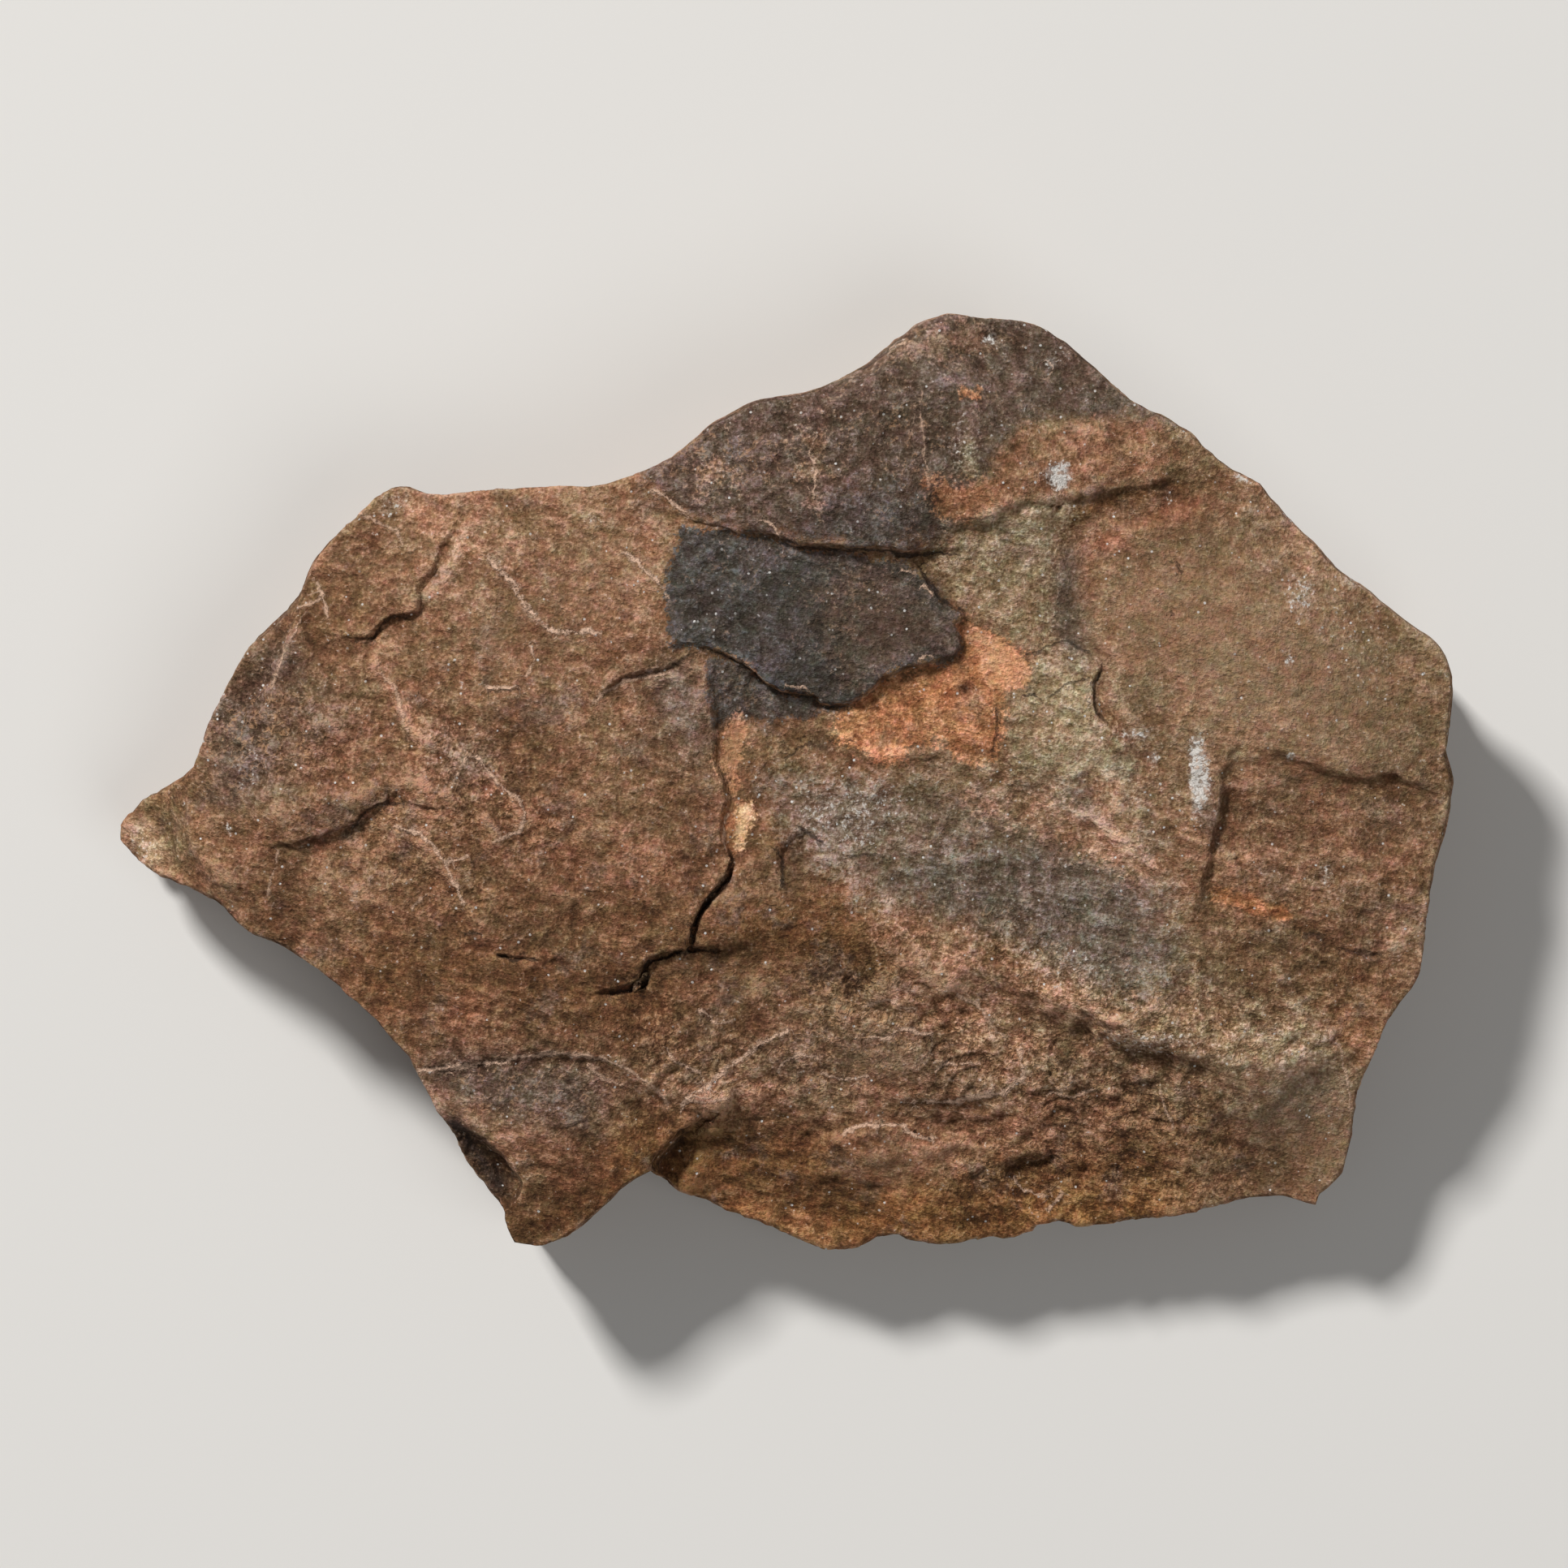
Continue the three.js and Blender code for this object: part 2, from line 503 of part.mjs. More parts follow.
// Delaunay triangles by adding one point at a time: the triangles whose circles hold the new
// point are taken out, and the hole they leave is fanned to it. The first triangle is far outside.
function delaunay(points) {
  const count = points.length;
  const far = 80 * SLAB_LENGTH;
  const all = [...points, { x: -far, y: -far }, { x: far, y: -far }, { x: 0, y: far }];

  function withCircle(corners) {
    const [a, b, c] = corners.map((i) => all[i]);
    const bx = b.x - a.x;
    const by = b.y - a.y;
    const cx = c.x - a.x;
    const cy = c.y - a.y;
    const scale = 2 * (bx * cy - by * cx);
    const ux = (cy * (bx * bx + by * by) - by * (cx * cx + cy * cy)) / scale;
    const uy = (bx * (cx * cx + cy * cy) - cx * (bx * bx + by * by)) / scale;
    return { corners, x: a.x + ux, y: a.y + uy, radius: Math.hypot(ux, uy) };
  }

  let triangles = [withCircle([count, count + 1, count + 2])];
  for (let i = 0; i < count; i += 1) {
    const hole = new Map();
    const kept = [];
    for (const triangle of triangles) {
      if (Math.hypot(all[i].x - triangle.x, all[i].y - triangle.y) >= triangle.radius) {
        kept.push(triangle);
        continue;
      }
      const [a, b, c] = triangle.corners;
      for (const [from, to] of [[a, b], [b, c], [c, a]]) {
        if (!hole.delete(`${to}-${from}`)) hole.set(`${from}-${to}`, [from, to]);
      }
    }
    triangles = kept.concat([...hole.values()].map(([from, to]) => withCircle([from, to, i])));
  }
  return triangles.map(({ corners }) => corners).filter((corners) => Math.max(...corners) < count);
}

// The Delaunay triangles that lie within the outline, which is the first part of the points.
function trianglesWithin(points, outline) {
  return delaunay(points).filter((corners) => {
    const x = corners.reduce((sum, i) => sum + points[i].x, 0) / 3;
    const y = corners.reduce((sum, i) => sum + points[i].y, 0) / 3;
    return isInside(outline, x, y);
  });
}

// ---------------------------------------------------------------- the slab

function slabGeometry() {
  const rim = makeRim();
  const inward = inwardDirections(rim);
  const positions = [];
  const indices = [];

  // the face
  const edge = ringPoints(rim, inward, () => EDGE_ROUNDING);
  const face = facePoints(edge);
  for (const { x, y } of face) positions.push(x, y, faceHeight(x, y));
  for (const corners of trianglesWithin(face, edge)) indices.push(...corners);

  // the wall, ring by ring down to the underside
  let above = 0;
  let lowest = edge;
  for (const [level, { down, inset, bed }] of WALL_RINGS.entries()) {
    const first = positions.length / 3;
    lowest = ringPoints(rim, inward, (i) => (level ? inset + bedBreak(rim[i], bed) : inset));
    for (const [i, { x, y }] of lowest.entries()) {
      const top = positions[3 * i + 2];
      const boundary = Math.ceil(level / 2);
      const dip = BED_DIP * 4 * down * (1 - down) * noise.noise(0.08 * x, 0.08 * y, 3.3 * boundary + 0.4);
      positions.push(x, y, top * (1 - down) + dip);
      const next = (i + 1) % lowest.length;
      const quad = [above + i, above + next, first + next, first + i];
      if (noise.noise(0.9 * x, 0.9 * y, 3 * level + 0.5) > 0) {
        indices.push(quad[0], quad[2], quad[1], quad[0], quad[3], quad[2]);
      } else {
        indices.push(quad[1], quad[0], quad[3], quad[1], quad[3], quad[2]);
      }
    }
    above = first;
  }

  // the flat underside
  const underside = lowest.map((point) => point.clone());
  addPoints(underside, shakenLattice(UNDERSIDE_SPACING), lowest, 0.7 * UNDERSIDE_SPACING);
  for (const { x, y } of underside.slice(lowest.length)) positions.push(x, y, 0);
  for (const [a, b, c] of trianglesWithin(underside, lowest)) {
    indices.push(above + a, above + c, above + b);
  }

  const geometry = new THREE.BufferGeometry();
  geometry.setAttribute('position', new THREE.Float32BufferAttribute(positions, 3));
  geometry.setIndex(indices);
  geometry.computeBoundingBox();
  const centre = geometry.boundingBox.getCenter(new THREE.Vector3());
  geometry.translate(-centre.x, -centre.y, 0);
  geometry.computeVertexNormals();
  return geometry;
}

const sandstone = new THREE.MeshStandardMaterial({
  color: 0x7d604c,
  roughness: 0.92,
  metalness: 0,
  flatShading: true,
});

const slab = new THREE.Mesh(slabGeometry(), sandstone);
slab.name = 'slab';

const group = new THREE.Group();
group.add(slab);

export default group;
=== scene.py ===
"""The looks of a fossil trackway slab: one flat, broken piece of bedded sandstone, lying on its underside.

The slab's solid gives the main shape. Here it is rounded and roughened into rock, and one material
colours it: a dark crust, an orange scar, grey and purple beds, pale veins, hairline cracks with painted
shade in them, mica with painted glints, and painted shade and highlight that follow the relief.
Places are drawn on a plan grid, whose x runs right and y runs down, as the slab is seen from above.
"""

import itertools
import math
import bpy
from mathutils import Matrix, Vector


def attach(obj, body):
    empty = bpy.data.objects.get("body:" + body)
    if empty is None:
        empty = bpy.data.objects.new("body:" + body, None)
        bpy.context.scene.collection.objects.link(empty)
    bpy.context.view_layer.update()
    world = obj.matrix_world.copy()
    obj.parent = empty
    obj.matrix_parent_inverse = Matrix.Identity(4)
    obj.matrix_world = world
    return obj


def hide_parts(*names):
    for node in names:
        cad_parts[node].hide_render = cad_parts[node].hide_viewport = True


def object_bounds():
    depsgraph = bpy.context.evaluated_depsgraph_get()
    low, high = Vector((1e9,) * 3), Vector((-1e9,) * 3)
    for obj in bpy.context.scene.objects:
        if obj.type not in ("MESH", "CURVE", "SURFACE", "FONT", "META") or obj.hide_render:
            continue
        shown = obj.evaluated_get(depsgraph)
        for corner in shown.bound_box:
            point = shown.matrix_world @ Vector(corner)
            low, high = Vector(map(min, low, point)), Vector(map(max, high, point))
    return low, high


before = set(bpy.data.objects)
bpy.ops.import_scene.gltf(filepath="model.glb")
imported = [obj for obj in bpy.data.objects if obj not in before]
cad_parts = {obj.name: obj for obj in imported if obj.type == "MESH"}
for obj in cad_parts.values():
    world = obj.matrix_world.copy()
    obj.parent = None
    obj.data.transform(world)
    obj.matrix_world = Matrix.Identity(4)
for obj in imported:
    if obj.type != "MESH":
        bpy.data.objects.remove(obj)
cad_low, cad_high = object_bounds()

from types import SimpleNamespace

import bmesh
import bpy
import numpy as np
from mathutils import Vector

MM = 0.001

# ---------------------------------------------------------------- the plan grid

SLAB_LENGTH = 180 * MM
PLAN_LENGTH = 1654  # squares of the plan grid along the slab
SQUARE = SLAB_LENGTH / PLAN_LENGTH
PLAN_CENTRE = (966.8, 964.1)  # the square over the frame's origin
VIEW_CENTRE = (966, 966)
VIEW_ACROSS = 1932  # squares that the camera sees


def on_slab(points):
    """Plan points as x and y in metres."""
    points = np.array(points, float).reshape(-1, 2)
    return (points - PLAN_CENTRE) * (SQUARE, -SQUARE)


# ---------------------------------------------------------------- fields on the mesh

def noise(points, size, seed):
    """A smooth random field from -1 to 1 that changes over `size`, one length or one for each axis."""
    cells = 32
    table = np.random.default_rng(seed).uniform(-1, 1, (cells, cells, cells))
    at = points / size + 0.37 * seed
    cell = np.floor(at).astype(int)
    part = at - cell
    part = part * part * (3 - 2 * part)
    total = np.zeros(len(points))
    for corner in itertools.product((0, 1), repeat=3):
        share = np.prod(np.where(corner, part, 1 - part), axis=1)
        x, y, z = ((cell + corner) % cells).T
        total += share * table[x, y, z]
    return total


def layered(points, size, seed, layers=3):
    """Noise on noise, each layer half the size and a little over half the height of the last."""
    total = np.zeros(len(points))
    for layer in range(layers):
        total += 0.55 ** layer * noise(points, np.array(size) / 2 ** layer, seed + layer)
    return total


def from_route(xy, route, reach=np.inf):
    """Distance of each point from a route through plan points, in metres, and its place along it, 0 to 1.

    Points farther from the route's box than reach are left at an endless distance."""
    stops = on_slab(route)
    nearest = np.full(len(xy), np.inf)
    along = np.zeros(len(xy))
    near = np.flatnonzero(((xy > stops.min(0) - reach) & (xy < stops.max(0) + reach)).all(1))
    here = xy[near]
    if len(stops) == 1:
        nearest[near] = np.hypot(*(here - stops[0]).T)
        return nearest, along
    lengths = np.hypot(*np.diff(stops, axis=0).T)
    starts = np.concatenate([[0], np.cumsum(lengths)])
    for start, end, length, before in zip(stops, stops[1:], lengths, starts):
        step = (end - start) / length
        reached = np.clip((here - start) @ step, 0, length)
        away = np.hypot(*(here - start - reached[:, None] * step).T)
        closer = away < nearest[near]
        nearest[near[closer]] = away[closer]
        along[near[closer]] = (before + reached[closer]) / starts[-1]
    return nearest, along


def side_of_route(xy, route, reach):
    """Distance from a route, in metres, above 0 on its left and below 0 on its right, and the place along it.

    Past the route's ends, and farther off than reach, it is an endless distance."""
    stops = on_slab(route)
    away, along = from_route(xy, route, reach)
    lengths = np.hypot(*np.diff(stops, axis=0).T)
    starts = np.concatenate([[0], np.cumsum(lengths)])
    leg = np.clip(np.searchsorted(starts, along * starts[-1], "right") - 1, 0, len(lengths) - 1)
    step = np.diff(stops, axis=0)[leg] / lengths[leg][:, None]
    offset = xy - stops[leg]
    side = np.sign(step[:, 0] * offset[:, 1] - step[:, 1] * offset[:, 0])
    past = (along <= 0) | (along >= 1)
    return np.where(past, np.inf, np.where(side == 0, 1, side) * away), along


def inside_by(xy, outline):
    """How far inside a closed outline of plan points each point is, in metres, negative outside."""
    away, _ = from_route(xy, [*outline, outline[0]])
    stops = on_slab(outline)
    inside = np.zeros(len(xy), bool)
    for (x0, y0), (x1, y1) in zip(stops, np.roll(stops, -1, axis=0)):
        if y0 == y1:
            continue
        crosses = (y0 > xy[:, 1]) != (y1 > xy[:, 1])
        inside ^= crosses & (xy[:, 0] < x0 + (xy[:, 1] - y0) * (x1 - x0) / (y1 - y0))
    return np.where(inside, away, -away)


def brushed(xy, strokes):
    """Soft strokes laid over one another: the strongest at each point, 0 to 1."""
    total = np.zeros(len(xy))
    for reach, strength, route in strokes:
        away, _ = from_route(xy, route, 3 * reach * SQUARE)
        total = np.maximum(total, strength * np.exp(-0.7 * (away / (reach * SQUARE)) ** 2))
    return total


# ---------------------------------------------------------------- relief finer than the solid's

# Where the face is pebbled, streaked along its beds or smooth: reach in squares, strength, route.
PEBBLED = [
    (60, 0.9, [(1060, 1230), (1180, 1280), (1330, 1340), (1450, 1380)]),
    (60, 0.6, [(1200, 1470), (1350, 1430), (1450, 1450)]),
    (50, 0.6, [(300, 880), (380, 920)]),
    (40, 0.5, [(540, 940), (580, 1000)]),
    (50, 0.6, [(1480, 1260), (1600, 1290)]),
    (60, 0.35, [(880, 560), (1100, 560)]),
    (44, 0.7, [(810, 1290), (870, 1330), (960, 1320), (1080, 1290)]),
    (30, 0.6, [(520, 900), (600, 950), (660, 1020)]),
    (40, 0.5, [(480, 1020), (560, 1090)]),
    (40, 0.6, [(1250, 1160), (1340, 1220), (1440, 1270)]),
    (40, 0.4, [(600, 1320), (760, 1340)]),
]
STREAKED = [
    (70, 1.0, [(880, 1440), (1150, 1440), (1400, 1440)]),
    (80, 0.8, [(1560, 1000), (1640, 1080), (1600, 1200)]),
    (60, 0.6, [(1140, 1060), (1330, 1110)]),
    (60, 0.7, [(560, 1250), (740, 1240)]),
    (50, 0.6, [(600, 1420), (700, 1450)]),
]
SMOOTH = [
    (110, 1.0, [(1460, 760), (1640, 860)]),
    (60, 0.8, [(1600, 1360), (1640, 1430)]),
    (60, 0.5, [(1000, 740), (1080, 780)]),
    (26, 1.0, [(1225, 805), (1240, 830)]),
    (14, 1.0, [(905, 900), (910, 960), (908, 1040)]),
    (26, 0.8, [(1060, 1308), (1100, 1310)]),
    (26, 0.7, [(1080, 1440), (1160, 1430)]),
    (40, 0.5, [(620, 780), (760, 700)]),
]

# Where the painted glints of mica lie thickly, in the same terms.
MICA_GLINTS = [
    (60, 0.8, [(880, 720), (980, 740), (1120, 770)]),
    (50, 0.7, [(920, 560), (1060, 520), (1220, 420)]),
    (40, 1.0, [(960, 985), (1100, 1000), (1200, 1010)]),
    (44, 1.0, [(1290, 860), (1400, 930), (1440, 1010)]),
    (46, 0.9, [(1560, 620), (1680, 740), (1740, 820)]),
    (36, 0.8, [(1420, 590), (1350, 680), (1320, 780)]),
    (50, 0.8, [(300, 900), (330, 960), (400, 1000)]),
    (60, 0.7, [(1240, 1140), (1360, 1220), (1480, 1270)]),
    (60, 0.5, [(1560, 1300), (1640, 1380)]),
    (60, 0.4, [(560, 900), (640, 1000)]),
]

# Grooves: half width and depth in millimetres, then the route.
GROOVES = {
    "long_crack": (0.18, 0.32, [(903, 1056), (901, 1072), (896, 1086), (880, 1101), (866, 1122),
                                (853, 1142), (854, 1156), (850, 1170)]),
    "shelf_crack": (0.21, 0.35, [(745, 1223), (776, 1218), (797, 1207), (793, 1193), (803, 1183),
                                (822, 1176), (850, 1170), (885, 1172)]),
    "short_crack": (0.21, 0.28, [(612, 1176), (635, 1179), (664, 1184)]),
    "toe_ledge": (0.24, 0.24, [(330, 1048), (362, 1041), (400, 1030), (432, 1020), (455, 999),
                               (478, 989), (505, 990), (530, 995), (560, 996)]),
    "toe_hole": (0.9, 0.9, [(478, 982), (494, 984)]),
    "hook": (0.24, 0.28, [(440, 786), (460, 787), (470, 768), (482, 761), (515, 757)]),
    "dome_foot": (0.2, 0.2, [(825, 620), (852, 642), (900, 656), (965, 665), (985, 674), (1060, 680),
                              (1120, 684), (1185, 683)]),
    "crust_foot": (0.22, 0.35, [(862, 800), (888, 806), (915, 817), (938, 840), (962, 853), (1003, 860),
                               (1012, 871), (1046, 870)]),
    "crust_tip": (0.21, 0.28, [(1128, 694), (1145, 722), (1158, 738), (1188, 756)]),
    "recess_corner": (0.5, 0.5, [(1702, 956), (1722, 958)]),
    "arc_step": (0.17, 0.08, [(728, 872), (745, 850), (772, 834), (800, 827), (830, 821), (866, 801)]),
    "scar_crack": (0.16, 0.17, [(1226, 868), (1228, 900), (1224, 930), (1222, 946)]),
    "scar_cleft": (0.16, 0.14, [(1131, 850), (1130, 880), (1132, 905)]),
    "scar_arc": (0.16, 0.17, [(958, 935), (972, 932), (982, 922), (1000, 919)]),
    "nook_top": (0.16, 0.21, [(984, 1018), (1000, 1030), (1016, 1041)]),
    "nook_line": (0.16, 0.14, [(1040, 1056), (1065, 1052), (1090, 1057)]),
    "valley_foot": (0.5, 0.2, [(1400, 1296), (1440, 1302), (1480, 1318), (1530, 1352), (1548, 1400)]),
    "lobe_arc": (0.21, 0.24, [(1358, 818), (1348, 842), (1346, 862), (1354, 884), (1390, 905)]),
    "tooth_pocket": (0.5, 0.5, [(846, 1392), (838, 1404), (824, 1420)]),
    "left_gash": (0.17, 0.21, [(392, 690), (374, 735), (356, 780), (345, 820), (334, 862)]),
    "low_hollow": (0.9, 0.3, [(1000, 1410), (1048, 1418)]),
    "low_hollow_right": (1.1, 0.15, [(1252, 1446), (1312, 1428)]),
    "right_tick": (0.17, 0.17, [(1602, 1148), (1632, 1152)]),
    "right_tick_low": (0.17, 0.17, [(1652, 1172), (1708, 1178)]),
    "lobe_tick": (0.16, 0.14, [(1444, 690), (1456, 712)]),
    "dash": (0.16, 0.14, [(600, 851), (644, 850)]),
    "tooth_line": (0.17, 0.17, [(690, 1392), (715, 1381), (745, 1375)]),
}
# Low ridges and swells, in the same terms.
SWELLS = {
    "under_rust_top": (2.2, 0.55, [(1232, 640), (1280, 628), (1340, 622)]),
    "nook_corner": (0.9, 0.3, [(957, 1044), (970, 1032), (984, 1022)]),
    "under_dome": (1.2, 0.25, [(1000, 688), (1100, 696)]),
    "tooth_foot": (2.6, 1.5, [(884, 1366), (872, 1392), (864, 1420), (856, 1446)]),
    "tooth_edge": (0.7, 0.35, [(852, 1352), (890, 1322), (935, 1286), (980, 1266)]),
    "left_ridge": (0.9, 0.45, [(465, 822), (492, 862), (512, 900), (560, 930), (612, 962), (650, 1006)]),
    "left_rim": (1.2, 0.4, [(372, 745), (346, 810), (330, 870)]),
    "tip_ridge": (0.9, 0.4, [(292, 900), (338, 950), (352, 1010)]),
    "tip_lump": (1.3, 0.4, [(395, 880), (420, 900)]),
    "toe_top": (1.1, 0.5, [(430, 985), (470, 962), (520, 966), (560, 980)]),
    "toe_lump": (1.4, 0.45, [(600, 1010), (612, 1040)]),
    "low_ridge": (0.8, 0.35, [(500, 1030), (540, 1052), (568, 1100), (600, 1140)]),
    "low_lump": (1.5, 0.35, [(425, 1085), (455, 1110)]),
    "hook_top": (1.1, 0.45, [(520, 740), (560, 700), (575, 655)]),
    "scar_rim": (0.8, 0.35, [(1025, 905), (1085, 930), (1160, 925), (1225, 950)]),
    "lobe_rim": (0.9, 0.35, [(1380, 820), (1372, 860), (1400, 900)]),
    "ridge_top": (1.0, 0.35, [(1295, 985), (1352, 1010), (1418, 1062)]),
    "low_right_ledge": (0.9, 0.35, [(1040, 1345), (1120, 1350), (1200, 1352), (1262, 1325), (1258, 1285)]),
    "bottom_ledge": (0.9, 0.4, [(1020, 1412), (1090, 1388), (1160, 1408), (1230, 1420)]),
}
# Steps of the solid that weather has worn to slopes: reach, strength, route.
WORN = [
    (20, 0.9, [(1516, 915), (1508, 960), (1503, 1000), (1495, 1050), (1482, 1110)]),
    (18, 0.85, [(1545, 925), (1620, 948), (1690, 965)]),
    (18, 0.8, [(1232, 628), (1290, 620), (1345, 612), (1400, 600), (1450, 592)]),
    (20, 0.8, [(1300, 1225), (1350, 1262), (1410, 1295), (1480, 1320), (1540, 1370)]),
    (16, 0.6, [(975, 1030), (966, 1060), (966, 1100)]),
]
# Plan centre, radius and depth in millimetres.
PITS = [
    (1190, 851, 0.75, 0.9),
    (1162, 746, 0.4, 0.4),
    (1082, 873, 0.3, 0.3),
    (1030, 887, 0.3, 0.3),
    (1440, 755, 0.3, 0.3),
    (735, 640, 0.35, 0.3),
    (742, 655, 0.3, 0.3),
    (485, 805, 0.35, 0.3),
    (655, 1510, 0.4, 0.4),
    (960, 1190, 0.35, 0.3),
]
# Heights of the face's own roughness, in millimetres.
WAVE_HEIGHT = 0.4
GRAIN_HEIGHT = 0.18
PEBBLE_HEIGHT = 0.2
STREAK_HEIGHT = 0.3
FLAKE_HEIGHT = 0.2


def strayed(points):
    """The points' places on the plan, moved about a little, so that routes drawn on them are jagged."""
    strays = [0.32 * MM * noise(points, 2.6 * MM, seed) + 0.2 * MM * noise(points, 0.9 * MM, seed + 1)
              for seed in (71, 81)]
    return points[:, :2] + np.column_stack(strays)


def face_relief(points):
    """How far each point of the face stands out of the solid's surface, in metres."""
    xy = points[:, :2]
    pebbled, streaked, smooth = (brushed(xy, strokes) for strokes in (PEBBLED, STREAKED, SMOOTH))
    calm = 1 - 0.6 * smooth
    height = calm * (WAVE_HEIGHT * layered(points, 8 * MM, 1)
                     + (GRAIN_HEIGHT + PEBBLE_HEIGHT * pebbled) * layered(points, 2.2 * MM, 5))
    height += STREAK_HEIGHT * streaked * layered(points, (9 * MM, 2 * MM, 2 * MM), 11)
    flakes = 2.2 * layered(points, 13 * MM, 21)
    step = flakes - np.floor(flakes)
    height += (FLAKE_HEIGHT + 0.16 * pebbled) * calm * np.clip(step * 8, 0, 1) * (1 - step)
    jagged = strayed(points)
    width_change = 1 + 0.45 * noise(points, 1.5 * MM, 31)
    for half_width, depth, route in GROOVES.values():
        away, along = from_route(jagged, route, 3 * half_width * MM)
        ends = np.clip(6 * np.minimum(along, 1 - along) + 0.35, 0, 1)
        height -= depth * ends * np.exp(-((away / (half_width * MM * width_change)) ** 2))
    for half_width, rise, route in SWELLS.values():
        away, _ = from_route(jagged, route, 3 * half_width * MM)
        height += rise * np.exp(-((away / (half_width * MM)) ** 2))
    for x, y, radius, depth in PITS:
        away, _ = from_route(jagged, [(x, y)], 3 * radius * MM)
        height -= depth * np.exp(-((away / (radius * MM)) ** 2))
    return height * MM


def wall_relief(points):
    """The broken sides: thin beds that stand out and fall back, cut by small fractures. Never outwards."""
    beds = 2.5 * layered(points, (30 * MM, 30 * MM, 4 * MM), 41)
    ledges = np.floor(beds) + np.clip(4 * (beds - np.floor(beds)), 0, 1)
    broken = layered(points, (4 * MM, 4 * MM, 2.2 * MM), 51)
    return (-0.5 + 0.2 * ledges + 0.24 * broken).clip(-1.1, 0) * MM


def underside_relief(points):
    """The underside, hollowed a little so that the slab still rests on what is left flat."""
    return (-0.1 + 0.16 * layered(points, 9 * MM, 61) + 0.06 * noise(points, 1.6 * MM, 66)).clip(-0.5, 0) * MM


# ---------------------------------------------------------------- the slab's mesh

FACE, WALL, UNDERSIDE = 0, 1, 2
FACE_SLOPE = 0.35  # least upward part of the normal of what counts as face
UNDERSIDE_SLOPE = -0.6
SHARP_ANGLE = math.radians(32)
SHARPEST_CREASE = 0.75
LEVELS = 3
WEAR_ROUNDS = 6 * 4 ** (LEVELS - 2)  # the same wear on a mesh of half the spacing
WORN_ABOVE = 0.4  # share of the slab's height
PROUD = 0.2 * MM  # how far the roughness may stand over the solid's top
FACES_KEPT = 190_000


def merged_copy(node):
    """The solid's mesh with its corners joined, each side numbered and its sharp edges creased."""
    bm = bmesh.new()
    bm.from_mesh(node.data)
    bmesh.ops.remove_doubles(bm, verts=bm.verts, dist=0.001 * MM)
    bm.normal_update()
    crease = bm.edges.layers.float.new("crease_edge")
    for edge in bm.edges:
        edge[crease] = min(1, edge.calc_face_angle(0) / SHARP_ANGLE) ** 2 * SHARPEST_CREASE
    for face in bm.faces:
        up = face.normal.z
        face.material_index = FACE if up > FACE_SLOPE else WALL if up > UNDERSIDE_SLOPE else UNDERSIDE
    mesh = bpy.data.meshes.new("slab_rock")
    bm.to_mesh(mesh)
    bm.free()
    return mesh


def with_modifier(rock, kind, **settings):
    """Applies one modifier to the rock's mesh."""
    modifier = rock.modifiers.new(kind.title(), kind)
    for name, value in settings.items():
        setattr(modifier, name, value)
    graph = bpy.context.evaluated_depsgraph_get()
    finished = bpy.data.meshes.new_from_object(rock.evaluated_get(graph))
    rock.modifiers.clear()
    rock.data = finished


def read(items, name, width=1, kind=float):
    """One property of many mesh elements as an array, with a row for each where it is wider than 1."""
    values = np.empty(len(items) * width, np.float32 if kind is float else np.int32)
    items.foreach_get(name, values)
    return values.reshape(-1, width).astype(kind) if width > 1 else values.astype(kind)


def neighbour_mean(mesh):
    """Gives a function that takes a value for each vertex and gives the mean over its neighbours."""
    size = len(mesh.vertices)
    first, second = read(mesh.edges, "vertices", 2, int).T
    count = np.bincount(first, minlength=size) + np.bincount(second, minlength=size)

    def mean(values):
        return (np.bincount(first, values[second], size) + np.bincount(second, values[first], size)) / count

    return mean


def wear_down(mesh):
    """Wears the solid's sharpest steps down to slopes."""
    points = read(mesh.vertices, "co", 3)
    mean = neighbour_mean(mesh)
    worn = brushed(points[:, :2], WORN) * (points[:, 2] > WORN_ABOVE * cad_high.z)
    for _ in range(WEAR_ROUNDS):
        points[:, 2] += worn * (mean(points[:, 2]) - points[:, 2])
    mesh.vertices.foreach_set("co", points.astype(np.float32).ravel())
    mesh.update()


def roughen(mesh):
    """Moves every vertex along its normal by the relief of the side that it is on."""
    points = read(mesh.vertices, "co", 3)
    normals = read(mesh.vertex_normals, "vector", 3)
    up = normals[:, 2]
    on_face = np.clip((up - 0.15) / 0.35, 0, 1)
    on_underside = np.clip((-up - 0.5) / 0.3, 0, 1)
    on_wall = 1 - on_face - on_underside
    away = on_face * face_relief(points) + on_wall * wall_relief(points)
    away += on_underside * underside_relief(points)
    points += normals * away[:, None]
    points[:, 2] = np.clip(points[:, 2], cad_low.z, cad_high.z + PROUD)
    mesh.vertices.foreach_set("co", points.astype(np.float32).ravel())
    mesh.update()


def make_rock(node):
    """The slab as rock: the solid made smoother, worn, roughened and brought down to the triangles kept."""
    rock = bpy.data.objects.new("slab_rock", merged_copy(node))
    bpy.context.scene.collection.objects.link(rock)
    with_modifier(rock, "SUBSURF", levels=LEVELS, render_levels=LEVELS)
    wear_down(rock.data)
    roughen(rock.data)
    triangles = 2 * len(rock.data.polygons)
    with_modifier(rock, "DECIMATE", ratio=FACES_KEPT / triangles)
    rock.data.shade_smooth()
    return rock


# ---------------------------------------------------------------- where the stains are

def srgb(red, green, blue):
    """A colour given as it looks on a screen, 0 to 255, as the linear values that shaders take."""
    shown = (red / 255, green / 255, blue / 255)
    return tuple(c / 12.92 if c < 0.0404 else ((c + 0.055) / 1.055) ** 2.4 for c in shown)


